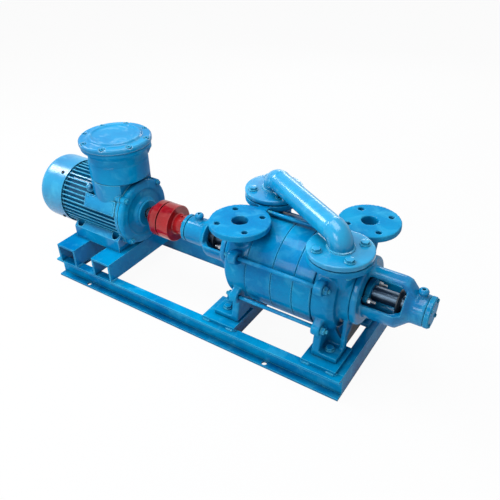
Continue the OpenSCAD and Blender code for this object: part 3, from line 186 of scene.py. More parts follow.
soft_lamp("skylight", (-1.8, -0.28, 1.9), (-0.1, 0.0, 0.25), width=0.6, height=1.1, power=41)
soft_lamp("overhead", (0.1, -0.15, 2.2), (0.2, 0.0, 0.25), width=1.3, height=1.3, power=32)
soft_lamp("window", (-0.6, 2.3, 1.1), (0.2, 0.0, 0.35), width=1.4, height=0.4, power=14)
soft_lamp("fill", (-0.1, -2.1, 1.45), (0.1, 0.0, 0.2), width=1.2, height=0.7, power=19)
soft_lamp("low_fill", (0.2, -2.4, 0.35), (0.1, 0.0, 0.05), width=1.6, height=0.4, power=4)

# Base frame: rolled channel rails and beams, cut, welded and sprayed with gloss blue enamel.
# The paint is thick and shiny. Its edges are painted lighter, as thin paint and as a painted highlight, and
# its corners and crevices are painted darker as painted shade.
enamel_deep = linear(0, 106, 166)
enamel_blue = linear(2, 158, 208)
# The edge colour is painted on edges, as thin paint and as a painted highlight, and on random lighter
# patches.
enamel_edge = linear(96, 214, 240)
hollow_shade_share = 0.22
noise_middle = 0.5
cloud_scale = 9.0
patch_scale = 26.0
tone_start, tone_gain, tone_grain = 0.30, 1.7, 0.3
fade_start, fade_gain, fade_most = 0.52, 3.0, 0.28
edge_least, edge_gain, edge_most = 0.4, 5.0, 0.85
hollow_most = 0.9
rough_grain, rough_patch = 0.12, 0.16
paint_bump = 0.3


def enamel(name, deep, main, edge, grain_scale, grain_depth, edge_radius, gloss,
           coat=0.22, coat_blur=0.1, hollow_reach=0.03):
    """Sprayed gloss paint: broad tone changes, edges lightened as thin paint and painted highlight, crevices
    darkened as painted shade, and the texture under it.
    """
    paint = bpy.data.materials.new(name)
    base = fresh_tree(paint)
    where = base.node("ShaderNodeTexCoord", out=3)
    cloud = base.node("ShaderNodeTexNoise", None, {"Vector": where, "Scale": cloud_scale, "Detail": 3.0})
    patch = base.node("ShaderNodeTexNoise", None, {
        "Vector": where, "Scale": patch_scale, "Detail": 5.0, "Distortion": 0.8})
    grain = base.node("ShaderNodeTexNoise", None, {"Vector": where, "Scale": grain_scale, "Detail": 4.0})
    rounded = base.node("ShaderNodeBevel", {"samples": 4}, {"Radius": edge_radius})
    flat = base.node("ShaderNodeNewGeometry", out=1)
    along = base.node("ShaderNodeVectorMath", {"operation": "DOT_PRODUCT"}, {0: rounded, 1: flat}, out=1)
    # Edges are painted lighter where the rounded normal turns away: a painted highlight, and thin paint on
    # the edges.
    turn = ((1 - along) * edge_gain * (patch + edge_least)).clamped()
    # Occlusion by nearby surfaces marks the corners and crevices, which are painted darker below as painted
    # shade.
    hollow = base.node("ShaderNodeAmbientOcclusion", {"samples": 6}, {"Distance": hollow_reach}, out=1)
    tone = ((cloud - tone_start) * tone_gain + (grain - noise_middle) * tone_grain).clamped()
    colour = tone.blend(deep, main)
    colour = (((patch - fade_start) * fade_gain).clamped() * fade_most).blend(colour, edge)
    colour = (turn * edge_most).blend(colour, edge)
    # Painted shade: crevices blend towards a dark copy of the deep colour.
    hollow_shade = tuple(share * hollow_shade_share for share in deep[:3]) + (1.0,)
    colour = ((1 - hollow) * hollow_most).clamped().blend(colour, hollow_shade)
    bump = base.node("ShaderNodeBump", None, {
        "Strength": paint_bump, "Distance": grain_depth, "Height": grain, "Normal": rounded})
    skin = base.node("ShaderNodeBsdfPrincipled", None, {
        "Base Color": colour,
        "Roughness": (grain - noise_middle) * rough_grain + (patch - noise_middle) * rough_patch + gloss,
        "Normal": bump,
        "Specular IOR Level": 0.0,
        "Coat Weight": coat,
        "Coat Roughness": coat_blur,
    })
    base.node("ShaderNodeOutputMaterial", None, {"Surface": skin})
    return paint


def dress(material, *names):
    for name in names:
        mesh = nodes[name].data
        mesh.materials.clear()
        mesh.materials.append(material)
        for polygon in mesh.polygons:
            polygon.use_smooth = True


frame_enamel = enamel("frame_enamel", enamel_deep, enamel_blue, enamel_edge, grain_scale=260,
                      grain_depth=0.0005, edge_radius=0.0022, gloss=0.26, hollow_reach=0.012)
dress(frame_enamel, "front_rail", "rear_rail", "end_beams", "motor_bearers", "pump_cross_beams", "bed_plates")
weld_gap = 1e-5


def solids_of(name):
    """Lowest and highest corner of each separate solid in a node."""
    work = bmesh.new()
    work.from_mesh(nodes[name].data)
    bmesh.ops.remove_doubles(work, verts=work.verts, dist=weld_gap)
    left = set(work.verts)
    boxes = []
    while left:
        front = [left.pop()]
        spots = []
        while front:
            vert = front.pop()
            spots.append(tuple(vert.co))
            for edge in vert.link_edges:
                other = edge.other_vert(vert)
                if other in left:
                    left.remove(other)
                    front.append(other)
        boxes.append((tuple(map(min, zip(*spots))), tuple(map(max, zip(*spots)))))
    work.free()
    boxes.sort(key=lambda box: [round(value, 5) for corner in box for value in corner])
    return [(Vector(low), Vector(high)) for low, high in boxes]


def settle(name, work, material, body, sharp_degrees=38):
    """Turns a bmesh into a piece that rides on a body and takes a material."""
    bmesh.ops.recalc_face_normals(work, faces=work.faces)
    mesh = bpy.data.meshes.new(name)
    work.to_mesh(mesh)
    work.free()
    for polygon in mesh.polygons:
        polygon.use_smooth = True
    mesh.set_sharp_from_angle(angle=math.radians(sharp_degrees))
    mesh.materials.append(material)
    piece = bpy.data.objects.new(name, mesh)
    scene.collection.objects.link(piece)
    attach(piece, body)
    return piece


# Welds of the frame: hand-laid arc beads with a rippled crown, painted over with the frame.
# Each run fills the corner between two members and thins out at its ends.
bead_radius = 0.0042
bead_pitch = 0.0036
bead_step = 0.0012
bead_sides = 8
bead_ripple = 0.10
bead_end, bead_growth = 0.35, 0.2
least_steps = 6
upright = 0.9


def straight(start, end):
    """Evenly spaced points of a straight run."""
    start, end = Vector(start), Vector(end)
    steps = max(least_steps, round((end - start).length / bead_step))
    return [start.lerp(end, i / steps) for i in range(steps + 1)]


def bead(work, path, radius=bead_radius, closed=False):
    """A weld run along a line of points, as a rippled round bar."""
    loops = []
    count = len(path)
    for i, spot in enumerate(path):
        ahead = path[(i + 1) % count] if closed else path[min(i + 1, count - 1)]
        behind = path[i - 1] if closed or i > 0 else path[0]
        along = (ahead - behind).normalized()
        up = Vector((0, 0, 1)) if abs(along.z) < upright else Vector((1, 0, 0))
        side = along.cross(up).normalized()
        up = side.cross(along)
        ripple = 1 - bead_ripple + bead_ripple * math.sin(2 * math.pi * i * bead_step / bead_pitch)
        reach = 1.0 if closed else min(1.0, bead_end + bead_growth * min(i, count - 1 - i))
        turns = [2 * math.pi * k / bead_sides for k in range(bead_sides)]
        loops.append([
            work.verts.new(spot + radius * ripple * reach * (math.cos(t) * side + math.sin(t) * up))
            for t in turns])
    pairs = list(zip(loops, loops[1:]))
    if closed:
        pairs.append((loops[-1], loops[0]))
    else:
        work.faces.new(loops[0])
        work.faces.new(loops[-1])
    for low, high in pairs:
        for k in range(bead_sides):
            n = (k + 1) % bead_sides
            work.faces.new((low[k], low[n], high[n], high[k]))


rail_low, rail_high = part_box("front_rail")
rail_out, rail_in, rail_top = rail_low.y, rail_high.y, rail_high.z
work = bmesh.new()
for low, high in solids_of("motor_bearers"):
    for x in (low.x, high.x):
        for side in (-1, 1):
            bead(work, straight((x, side * rail_in, rail_top), (x, side * rail_out, rail_top)))
for low, high in solids_of("end_beams"):
    for x in (low.x, high.x):
        if rail_low.x + bead_radius < x < rail_high.x - bead_radius:
            for side in (-1, 1):
                corner = (x, side * rail_in)
                bead(work, straight((*corner, bead_radius), (*corner, rail_top - bead_radius)))
settle("frame_welds", work, frame_enamel, "base")

# Pump cross beams: inverted channels between the rails, one under each pair of pump feet.
# The one at the free end is slimmer, so that a gap is left beside the end beam.
slim_by = 0.036
beam_boxes = solids_of("pump_cross_beams")
beam_middle = sum(beam_boxes[-1], Vector()).x / 2
beam_mesh = nodes["pump_cross_beams"].data.copy()
for vert in beam_mesh.vertices:
    if vert.co.x > beam_middle:
        vert.co.x -= slim_by
cross_beams = bpy.data.objects.new("cross_beams_welded", beam_mesh)
scene.collection.objects.link(cross_beams)
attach(cross_beams, "base")
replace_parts(cross_beams, "pump_cross_beams")

# Bed plates: flame-cut flats tacked to the rails at their corners, where the weld stands up in lumps.
# Plates and tacks were painted over with the frame.
tack_length = 0.026
tack_radius = 0.0048
work = bmesh.new()
for low, high in solids_of("bed_plates"):
    outer = low.y if low.y < 0 else high.y
    inward = 1 if outer < 0 else -1
    over_rail = abs(outer) - abs(rail_in)
    for x, way in ((low.x, 1), (high.x, -1)):
        bead(work, straight((x, outer, low.z), (x + way * tack_length, outer, low.z)), tack_radius)
        bead(work, straight((x, outer, low.z), (x, outer + inward * over_rail, low.z)), tack_radius)
settle("bed_plate_tacks", work, frame_enamel, "base")

# Pump castings: grey iron covers and ring casings, rough cast, filled and painted after assembly.
# Their edges and corners are rounded by the mould, so each cover is a softened skin over its solid.
casting_enamel = enamel("casting_enamel", enamel_deep, enamel_blue, enamel_edge, grain_scale=170,
                        grain_depth=0.0012, edge_radius=0.003, gloss=0.24)
dress(casting_enamel, "first_stage_casing", "interstage_body", "second_stage_casing")
ease_factor = 0.5
cover_skin = {"voxel": 0.0024, "passes": 5, "keep": 0.4}


def cast_skin(name, node, material, slot, voxel, passes, keep):
    """A casting's skin: the node's solid remeshed and smoothed, so that its edges are rounded."""
    piece = bpy.data.objects.new(name, nodes[node].data.copy())
    scene.collection.objects.link(piece)
    join = piece.modifiers.new("join", "WELD")
    join.merge_threshold = weld_gap
    skin = piece.modifiers.new("skin", "REMESH")
    skin.mode = "VOXEL"
    skin.voxel_size = voxel
    ease = piece.modifiers.new("ease", "SMOOTH")
    ease.factor = ease_factor
    ease.iterations = passes
    thin = piece.modifiers.new("thin", "DECIMATE")
    thin.ratio = keep
    done = piece.evaluated_get(bpy.context.evaluated_depsgraph_get())
    mesh = bpy.data.meshes.new_from_object(done)
    piece.modifiers.clear()
    piece.data = mesh
    mesh.name = name
    for polygon in mesh.polygons:
        polygon.use_smooth = True
    mesh.materials.clear()
    mesh.materials.append(material)
    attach(piece, "base")
    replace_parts(piece, node)
    return piece


cast_skin("drive_cover_casting", "drive_cover", casting_enamel, "cast_paint", **cover_skin)
cast_skin("free_cover_casting", "free_cover", casting_enamel, "cast_paint", **cover_skin)

# Tie rods: plain round bars threaded at their ends, with hexagon nuts against the cover lugs.
# They were painted over with the pump.
thread_pitch = 0.0015
thread_depth = 0.13
thread_lead = 0.001
turn_steps = 24
thread_steps = 16
hex_slope = 0.55
hex_edge = 0.0004
nut_land, head_land = 0.95, 0.94
tip_share = 0.8
washer_edge = 0.25
washer_height = 0.002
rod_thread = 0.030
rod_chamfer = 0.2
rod_nut_spin = 0.4
rod_washer_share = 1.12


def stand(origin, axis, spin=0.0):
    """A place whose own Z looks along an axis."""
    look = Vector(axis).to_track_quat("Z", "Y").to_matrix().to_4x4()
    return Matrix.Translation(Vector(origin)) @ look @ Matrix.Rotation(spin, 4, "Z")


def turned(work, place, rings, steps=turn_steps):
    """A solid of rings stacked along its axis. A ring is (radius, height), or (corner, height, slope) for
    a hexagon whose corners fall away by the slope."""
    loops = []
    for radius, height, *slope in rings:
        loop = []
        for i in range(1 if radius == 0 else steps):
            angle = 2 * math.pi * i / steps
            reach, drop = radius, 0.0
            if slope:
                flat = radius * math.cos(math.pi / 6)
                reach = flat / math.cos(angle % (math.pi / 3) - math.pi / 6)
                drop = slope[0] * (reach - flat)
            loop.append(work.verts.new(place @ Vector((
                reach * math.cos(angle), reach * math.sin(angle), height - drop))))
        loops.append(loop)
    for low, high in zip(loops, loops[1:]):
        for i in range(steps):
            n = (i + 1) % steps
            corners = (low[i % len(low)], low[n % len(low)], high[n % len(high)], high[i % len(high)])
            corners = list(dict.fromkeys(corners))
            if len(corners) > 2:
                work.faces.new(corners)


def thread_rings(radius, start, length):
    """Rings of a screw thread from one height to another."""
    root = radius * (1 - thread_depth)
    rings = []
    for i in range(int(length / thread_pitch)):
        rings.append((root, start + i * thread_pitch))
        rings.append((radius, start + (i + 0.5) * thread_pitch))
    rings.append((root, start + length))
    return rings


def hex_nut(work, place, corner, height):
    """A hexagon with both its faces chamfered."""
    flat = corner * math.cos(math.pi / 6)
    turned(work, place, [
        (0, 0), (flat * nut_land, 0), (corner, hex_edge, -hex_slope), (corner, height - hex_edge, hex_slope),
        (flat * nut_land, height), (0, height)])


def washer(work, place, radius, height):
    edge = height * washer_edge
    turned(work, place, [
        (0, 0), (radius - edge, 0), (radius, edge), (radius, height - edge), (radius - edge, height),
        (0, height)])


def hex_bolt(work, place, low, seat, top, corner, shank, washer_share=1.2):
    """A hexagon bolt along a place's own Z: its shank from low to seat, then a washer and the head."""
    flat = corner * math.cos(math.pi / 6)
    washer(work, place @ Matrix.Translation((0, 0, seat)), corner * washer_share, washer_height)
    turned(work, place, [
        (0, seat), (corner, seat, 0.0), (corner, top, hex_slope), (flat * head_land, top), (0, top)])
    turned(work, place, [(0, low), (shank * tip_share, low)]
           + thread_rings(shank, low + thread_lead, seat - low - thread_lead) + [(0, seat)], thread_steps)


work = bmesh.new()
for low, high in solids_of("tie_rods"):
    radius = (high.z - low.z) / 2
    length = high.x - low.x
    middle = (low + high) / 2
    chamfer = radius * rod_chamfer
    rings = [(0, 0), (radius - chamfer, 0)]
    rings += thread_rings(radius, chamfer, rod_thread)
    rings += [(radius, rod_thread + 2 * chamfer), (radius, length - rod_thread - 2 * chamfer)]
    rings += thread_rings(radius, length - rod_thread - chamfer, rod_thread)
    rings += [(radius - chamfer, length), (0, length)]
    turned(work, stand((low.x, middle.y, middle.z), (1, 0, 0)), rings)
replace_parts(settle("tie_rods_threaded", work, casting_enamel, "base"), "tie_rods")

pump_middle = sum(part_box("interstage_body"), Vector()).x / 2
work = bmesh.new()
for low, high in solids_of("tie_rod_nuts"):
    middle = (low + high) / 2
    corner = max(high.z - low.z, high.y - low.y) / 2
    spin = math.copysign(rod_nut_spin, middle.y)
    hex_nut(work, stand((low.x, middle.y, middle.z), (1, 0, 0), spin), corner, high.x - low.x)
    face = low.x if middle.x > pump_middle else high.x - washer_height
    washer(work, stand((face, middle.y, middle.z), (1, 0, 0)), corner * rod_washer_share, washer_height)
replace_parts(settle("tie_rod_nuts_chamfered", work, casting_enamel, "base"), "tie_rod_nuts")

# Crossover pipe: a bent steel tube welded between two flat flanges, under a thick glossy coat.
# A fillet weld runs around the tube on each flange.
pipe_enamel = enamel("pipe_enamel", linear(4, 124, 180), linear(14, 162, 206), enamel_edge, grain_scale=150,
                     grain_depth=0.0003, edge_radius=0.0025, gloss=0.17, coat=0.9, coat_blur=0.2)
cast_skin("crossover_pipe_welded", "crossover_pipe", pipe_enamel, "steel_paint",
          voxel=0.0022, passes=4, keep=0.4)
pipe_radius = 0.028
fillet_radius = 0.0045
head_height = 0.008
flange_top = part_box("flange_bolts")[1].z - head_height
ring_steps = round(2 * math.pi * pipe_radius / bead_step)
work = bmesh.new()
for low, high in solids_of("flange_gaskets"):
    middle = (low + high) / 2
    turns = [2 * math.pi * i / ring_steps for i in range(ring_steps)]
    around = [
        Vector((middle.x + pipe_radius * math.cos(t), middle.y + pipe_radius * math.sin(t), flange_top))
        for t in turns]
    bead(work, around, fillet_radius, closed=True)
settle("pipe_fillet_welds", work, pipe_enamel, "base")

# Flange bolts: hexagon bolts through the pipe flanges with nuts below, and one flush screw under each bend.
# The bolts are painted with the pipe, and the nuts with the covers.
flange_bolt_r = 0.006
flange_bolt_twist, flange_nut_twist = 9, 7
socket_corner = 0.005
socket_depth = 0.004
socket_rim = 1.2
screw_edge = 0.0004
work = bmesh.new()
for low, high in solids_of("flange_bolts"):
    middle = (low + high) / 2
    radius = (high.x - low.x) / 2
    place = stand((middle.x, middle.y, 0), (0, 0, 1), middle.x * flange_bolt_twist)
    if high.z > flange_top + head_height / 2:
        hex_bolt(work, place, low.z, flange_top, high.z, radius, flange_bolt_r)
    else:
        sunk = high.z - flange_bolt_r
        turned(work, place, [
            (0, low.z), (flange_bolt_r, low.z), (flange_bolt_r, sunk),
            (radius - screw_edge, high.z - screw_edge),
            (socket_corner * socket_rim, high.z), (socket_corner, high.z - screw_edge, 0.0),
            (socket_corner, high.z - socket_depth, 0.0), (0, high.z - socket_depth)])
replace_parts(settle("flange_bolts_detailed", work, pipe_enamel, "base"), "flange_bolts")

work = bmesh.new()
for low, high in solids_of("flange_nuts"):
    middle = (low + high) / 2
    place = stand((middle.x, middle.y, low.z), (0, 0, 1), middle.x * flange_nut_twist)
    hex_nut(work, place, (high.x - low.x) / 2, high.z - low.z)
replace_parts(settle("flange_nuts_chamfered", work, casting_enamel, "base"), "flange_nuts")

# Flange gaskets: compressed fibre sheet, punched out with a die.
# Only the edge is in sight, between the pipe's flange and the cover's.
stain_scale = 14.0
grain_weight, stain_weight, band_weight = 0.9, 0.7, 0.35
band_grain = 0.4
grain_spread, stain_spread = 0.2, 0.15
finish_bump = 0.4


def mottled(name, dark, light, scale, rough, metallic, depth, band_axis=None, band_scale=0.0):
    """A plain finish with a fine grain and, where it is turned or wound, bands along an axis."""
    finish = bpy.data.materials.new(name)
    base = fresh_tree(finish)
    where = base.node("ShaderNodeTexCoord", out=3)
    grain = base.node("ShaderNodeTexNoise", None, {"Vector": where, "Scale": scale, "Detail": 5.0})
    stain = base.node("ShaderNodeTexNoise", None, {"Vector": where, "Scale": stain_scale, "Detail": 2.0})
    tone = (grain - noise_middle) * grain_weight + (stain - noise_middle) * stain_weight + noise_middle
    height = grain
    if band_axis:
        bands = base.node("ShaderNodeTexWave", {"bands_direction": band_axis}, {
            "Vector": where, "Scale": band_scale, "Distortion": 0.6, "Detail": 2.0})
        tone = tone + (bands - noise_middle) * band_weight
        height = grain * band_grain + bands
    bump = base.node("ShaderNodeBump", None, {"Strength": finish_bump, "Distance": depth, "Height": height})
    skin = base.node("ShaderNodeBsdfPrincipled", None, {
        "Base Color": tone.clamped().blend(dark, light),
        "Roughness": (grain - noise_middle) * grain_spread + (stain - noise_middle) * stain_spread + rough,
        "Metallic": metallic,
        "Normal": bump,
    })
    base.node("ShaderNodeOutputMaterial", None, {"Surface": skin})
    return finish


gasket_fibre = mottled("gasket_fibre", linear(38, 44, 46), linear(70, 76, 76), scale=900, rough=0.85,
                       metallic=0.0, depth=0.0003)
dress(gasket_fibre, "flange_gaskets")

# Bearing brackets: open iron lanterns with one rounded arm over the gland, rough cast like the covers.
# The bearing covers, gland followers and drain plugs were painted blue as well.
shaft_z = sum(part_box("pump_shaft"), Vector()).z / 2
arm_half = 0.018
arm_deep = 0.016
arm_crown = 0.009
arm_margin = 0.002
arm_passes = 6


def crown_arm(piece, root_x, outward, tops):
    """Rounds a bracket's arm over its width. The tops are (distance from the root, height over the shaft)."""
    work = bmesh.new()
    work.from_mesh(piece.data)
    arm = []
    for vert in work.verts:
        along = outward * (vert.co.x - root_x)
        height = vert.co.z - shaft_z
        for (start, top), (end, end_top) in zip(tops, tops[1:]):
            under = top + (end_top - top) * (along - start) / (end - start) - arm_deep
            if start < along <= end and height > under and abs(vert.co.y) < arm_half + arm_margin:
                weight = min(1.0, (height - under) / arm_deep)
                vert.co.z -= arm_crown * weight * min(1.0, abs(vert.co.y) / arm_half) ** 2
                arm.append(vert)
                break
    for _ in range(arm_passes):
        bmesh.ops.smooth_vert(
            work, verts=arm, factor=ease_factor, use_axis_x=True, use_axis_y=True, use_axis_z=True)
    work.to_mesh(piece.data)
    work.free()


drive_tops = ((0.018, 0.062), (0.066, 0.062), (0.080, 0.058), (0.096, 0.050), (0.102, 0.041))
free_tops = ((0.018, 0.074), (0.094, 0.074), (0.108, 0.070), (0.124, 0.050), (0.130, 0.041))
bracket_enamel = enamel("bracket_enamel", enamel_deep, enamel_blue, enamel_edge, grain_scale=170,
                        grain_depth=0.0008, edge_radius=0.003, gloss=0.22, coat=0.45, coat_blur=0.14)
bracket_skin = {"voxel": 0.002, "passes": 16, "keep": 0.45}
drive_bracket = cast_skin(
    "drive_bracket_casting", "drive_bearing_bracket", bracket_enamel, "cast_paint", **bracket_skin)
free_bracket = cast_skin(
    "free_bracket_casting", "free_bearing_bracket", bracket_enamel, "cast_paint", **bracket_skin)
crown_arm(drive_bracket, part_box("drive_bearing_bracket")[1].x, -1, drive_tops)
crown_arm(free_bracket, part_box("free_bearing_bracket")[0].x, 1, free_tops)
dress(casting_enamel, "bearing_covers", "drain_plugs", "gland_followers")

# Grease cups: turned brass cups with a filling hole, screwed into a boss on each bearing housing.
# They were painted over with the brackets.
cup_radius = 0.0122
cup_head = 0.0125
cup_stem = 0.9
cup_belly = ((0.86, 0.0), (1.0, 0.0022), (1.0, 0.0068), (0.84, 0.0102))
cup_hole, cup_hole_depth = 0.0042, 0.0060
cup_mouth, cup_mouth_edge = 1.5, 0.0006
work = bmesh.new()
for low, high in solids_of("grease_cups"):
    middle = (low + high) / 2
    stem = (high.x - low.x) / 2 * cup_stem
    seat = high.z - cup_head
    rings = [(0, low.z), (stem, low.z), (stem, seat)]
    rings += [(cup_radius * share, seat + height) for share, height in cup_belly]
    rings += [(cup_hole * cup_mouth, high.z), (cup_hole, high.z - cup_mouth_edge),
              (cup_hole, high.z - cup_hole_depth), (0, high.z - cup_hole_depth)]
    turned(work, stand((middle.x, middle.y, 0), (0, 0, 1)), rings)
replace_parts(settle("grease_cups_turned", work, bracket_enamel, "base"), "grease_cups")

# Bearing cover screws: four small hexagon screws on washers in the face of each cover.
# They are steel, and painted with the cover.
cover_screw_in = 0.0075
cover_screw_twist = 0.7
cover_washer_r, cover_washer_h = 0.0058, 0.0008
cover_head_corner, cover_head_h, cover_head_seat = 0.0046, 0.0020, 0.0006
work = bmesh.new()
for low, high in solids_of("bearing_covers"):
    outward = 1 if low.x > pump_middle else -1
    face = high.x if outward > 0 else low.x
    circle = (high.z - low.z) / 2 - cover_screw_in
    for i in range(4):
        angle = math.pi / 4 + i * math.pi / 2
        spot = (face, circle * math.cos(angle), shaft_z + circle * math.sin(angle))
        place = stand(spot, (outward, 0, 0), i * cover_screw_twist)
        washer(work, place, cover_washer_r, cover_washer_h)
        seat = Matrix.Translation((0, 0, cover_head_seat))
        hex_nut(work, place @ seat, cover_head_corner, cover_head_h)
settle("bearing_cover_screws", work, casting_enamel, "base")

# Glands: iron followers pulled in by two studs each, with plated nuts, around the ground steel shaft.
# The packing behind them is plaited yarn, and a rubber ring throws off the leak.
# Shafts, bearings and coupling pins are bare steel.
bright_steel = mottled("bright_steel", linear(120, 124, 128), linear(206, 210, 214), scale=500, rough=0.28,
                       metallic=1.0, depth=0.00008, band_axis="X", band_scale=420.0)
zinc_steel = mottled("zinc_steel", linear(126, 130, 134), linear(188, 192, 196), scale=700, rough=0.38,
                     metallic=1.0, depth=0.00012)
gland_stud_r = 0.004
gland_thread = 0.038
gland_washer_r, gland_washer_h = 0.008, 0.0014
gland_nut_corner, gland_nut_h, gland_nut_seat = 0.0068, 0.007, 0.001
follower_low, follower_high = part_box("gland_followers")
work = bmesh.new()
for low, high in solids_of("gland_studs"):
    middle = (low + high) / 2
    outward = 1 if middle.x > pump_middle else -1
    length = high.x - low.x
    root, face = (low.x, follower_high.x) if outward > 0 else (high.x, follower_low.x)
    place = stand((root, middle.y, middle.z), (outward, 0, 0))
    rings = [(0, 0), (gland_stud_r, 0), (gland_stud_r, length - gland_thread - thread_lead)]
    rings += thread_rings(gland_stud_r, length - gland_thread, gland_thread - thread_lead)
    turned(work, place, rings + [(0, length)], thread_steps)
    seat = abs(face - root)
    washer(work, place @ Matrix.Translation((0, 0, seat)), gland_washer_r, gland_washer_h)
    hex_nut(work, place @ Matrix.Translation((0, 0, seat + gland_nut_seat)), gland_nut_corner, gland_nut_h)
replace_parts(settle("gland_studs_threaded", work, zinc_steel, "base"), "gland_studs")

slinger_rubber = mottled("slinger_rubber", linear(14, 22, 30), linear(34, 46, 58), scale=600, rough=0.55,
                         metallic=0.0, depth=0.0002)
dress(slinger_rubber, "shaft_slingers")
packing_yarn = mottled("packing_yarn", linear(30, 31, 32), linear(84, 84, 82), scale=1100, rough=0.8,
                       metallic=0.0, depth=0.0006, band_axis="X", band_scale=160.0)
dress(packing_yarn, "packing_rings")
# The pump shaft's steel is painted dark and bluish: painted shade for its place inside the bearing brackets.
shaded_shaft_steel = mottled("shaded_shaft_steel", linear(26, 44, 62), linear(96, 116, 134), scale=500, rough=0.34,
                      metallic=0.9, depth=0.00008, band_axis="X", band_scale=420.0)
dress(shaded_shaft_steel, "pump_shaft")
dress(bright_steel, "motor_shaft", "pump_bearing_outer_rings", "pump_bearing_inner_rings",
      "pump_bearing_balls", "motor_bearing_outer_rings", "motor_bearing_inner_rings", "motor_bearing_balls",
      "coupling_pins")

# Impellers and port plates: bronze wheels between machined iron plates.
# They run wet, so they are a little stained.
impeller_bronze = mottled("impeller_bronze", linear(128, 88, 40), linear(196, 150, 84), scale=300, rough=0.42,
                          metallic=1.0, depth=0.0004)
dress(impeller_bronze, "first_stage_impeller", "second_stage_impeller")
machined_iron = mottled("machined_iron", linear(74, 76, 80), linear(128, 130, 134), scale=420, rough=0.45,
                        metallic=0.9, depth=0.0002, band_axis="X", band_scale=260.0)
dress(machined_iron, "port_plates")

# Pump feet: one hexagon bolt with a washer holds each foot to its bed plate.
# The bolts are steel, painted with the pump.
foot_bolt_r = 0.006
foot_bolt_twist = 5
work = bmesh.new()
for low, high in solids_of("pump_foot_bolts"):
    middle = (low + high) / 2
    place = stand((middle.x, middle.y, 0), (0, 0, 1), middle.x * foot_bolt_twist)
    hex_bolt(work, place, low.z, high.z - head_height, high.z, (high.x - low.x) / 2, foot_bolt_r)
foot_bolts = settle("pump_foot_bolts_detailed", work, casting_enamel, "base")
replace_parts(foot_bolts, "pump_foot_bolts")

# Coupling: two turned iron discs with hubs, in gloss red, driven by steel pins in rubber bushes.
# Each disc has a flat face towards its hub, and a hexagon screw in the hub holds it on its shaft.
# Its edges are painted pale pink as a painted highlight.
coupling_enamel = enamel("coupling_enamel", linear(122, 2, 10), linear(198, 8, 22), linear(236, 96, 100),
                         grain_scale=240, grain_depth=0.0005, edge_radius=0.002, gloss=0.17,
                         coat=1.0, coat_blur=0.12)
ring_fit = 0.0004
ring_slack = 0.01
turned_sharp = 25
hub_screw_corner, hub_screw_h, hub_screw_sunk = 0.0046, 0.006, 0.002


def reshaped(name, node, moves, body, material):
    """A turned node whose outline is moved. The moves are old and new rings, each an x and a radius."""
    source = nodes[node].data
    work = bmesh.new()
    spots = [work.verts.new(vert.co) for vert in source.vertices]
    for polygon in source.polygons:
        work.faces.new([spots[i] for i in polygon.vertices])
    bmesh.ops.remove_doubles(work, verts=work.verts, dist=weld_gap)
    for vert in work.verts:
        reach = math.hypot(vert.co.y, vert.co.z - shaft_z)
        for (old_a, new_a), (old_b, new_b) in zip(moves, moves[1:]):
            share = (vert.co.x - old_a[0]) / (old_b[0] - old_a[0])
            outline = old_a[1] + share * (old_b[1] - old_a[1])
            if -ring_slack < share < 1 + ring_slack and abs(reach - outline) < ring_fit:
                new_reach = new_a[1] + share * (new_b[1] - new_a[1])
                vert.co.x = new_a[0] + share * (new_b[0] - new_a[0])
                vert.co.y *= new_reach / reach
                vert.co.z = shaft_z + (vert.co.z - shaft_z) * new_reach / reach
                break
    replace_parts(settle(name, work, material, body, turned_sharp), node)


motor_half_rings = (
    ((-0.150, 0.034), (-0.150, 0.031)),
    ((-0.140, 0.035), (-0.129, 0.032)),
    ((-0.132, 0.043), (-0.127, 0.034)),
    ((-0.124, 0.049), (-0.127, 0.0508)),
    ((-0.118, 0.052), (-0.1258, 0.052)),
    ((-0.107, 0.052), (-0.107, 0.052)),
)
pump_half_rings = (
    ((-0.101, 0.052), (-0.101, 0.052)),
    ((-0.065, 0.052), (-0.0642, 0.052)),
    ((-0.057, 0.049), (-0.063, 0.0508)),
    ((-0.049, 0.043), (-0.063, 0.031)),
    ((-0.042, 0.034), (-0.061, 0.029)),
    ((-0.035, 0.032), (-0.035, 0.028)),
)
for half, body, rings, screw_x, hub_radius in (
        ("motor_coupling_half", "motor_rotor", motor_half_rings, -0.141, 0.0315),
        ("pump_coupling_half", "pump_rotor", pump_half_rings, -0.047, 0.0285)):
    reshaped(half + "_turned", half, rings, body, coupling_enamel)
    work = bmesh.new()
    place = stand((screw_x, 0, shaft_z + hub_radius - hub_screw_sunk), (0, 0, 1))
    hex_nut(work, place, hub_screw_corner, hub_screw_h)
    settle(half + "_screw", work, coupling_enamel, body)
bush_rubber = mottled("bush_rubber", linear(16, 16, 18), linear(40, 40, 42), scale=700, rough=0.75,
                      metallic=0.0, depth=0.0003)
dress(bush_rubber, "coupling_bushes")

# Motor frame: a finned iron barrel with feet and two end shields, in the same blue.
# The barrel is cast in one with its feet and with the neck under the terminal box.
motor_enamel = enamel("motor_enamel", enamel_deep, enamel_blue, enamel_edge, grain_scale=220,
                      grain_depth=0.0008, edge_radius=0.0024, gloss=0.24)
dress(motor_enamel, "fan_end_shield", "motor_bearing_cap", "cable_gland")
# The fins' edge colour is near white: a painted highlight on the fin tips.
fin_enamel = enamel("fin_enamel", enamel_deep, enamel_blue, linear(126, 228, 250), grain_scale=220,
                    grain_depth=0.0008, edge_radius=0.0034, gloss=0.24, coat=0.5, hollow_reach=0.014)
dress(fin_enamel, "motor_frame")
cast_skin("drive_end_shield_casting", "drive_end_shield", motor_enamel, "cast_paint",
          voxel=0.0018, passes=4, keep=0.4)

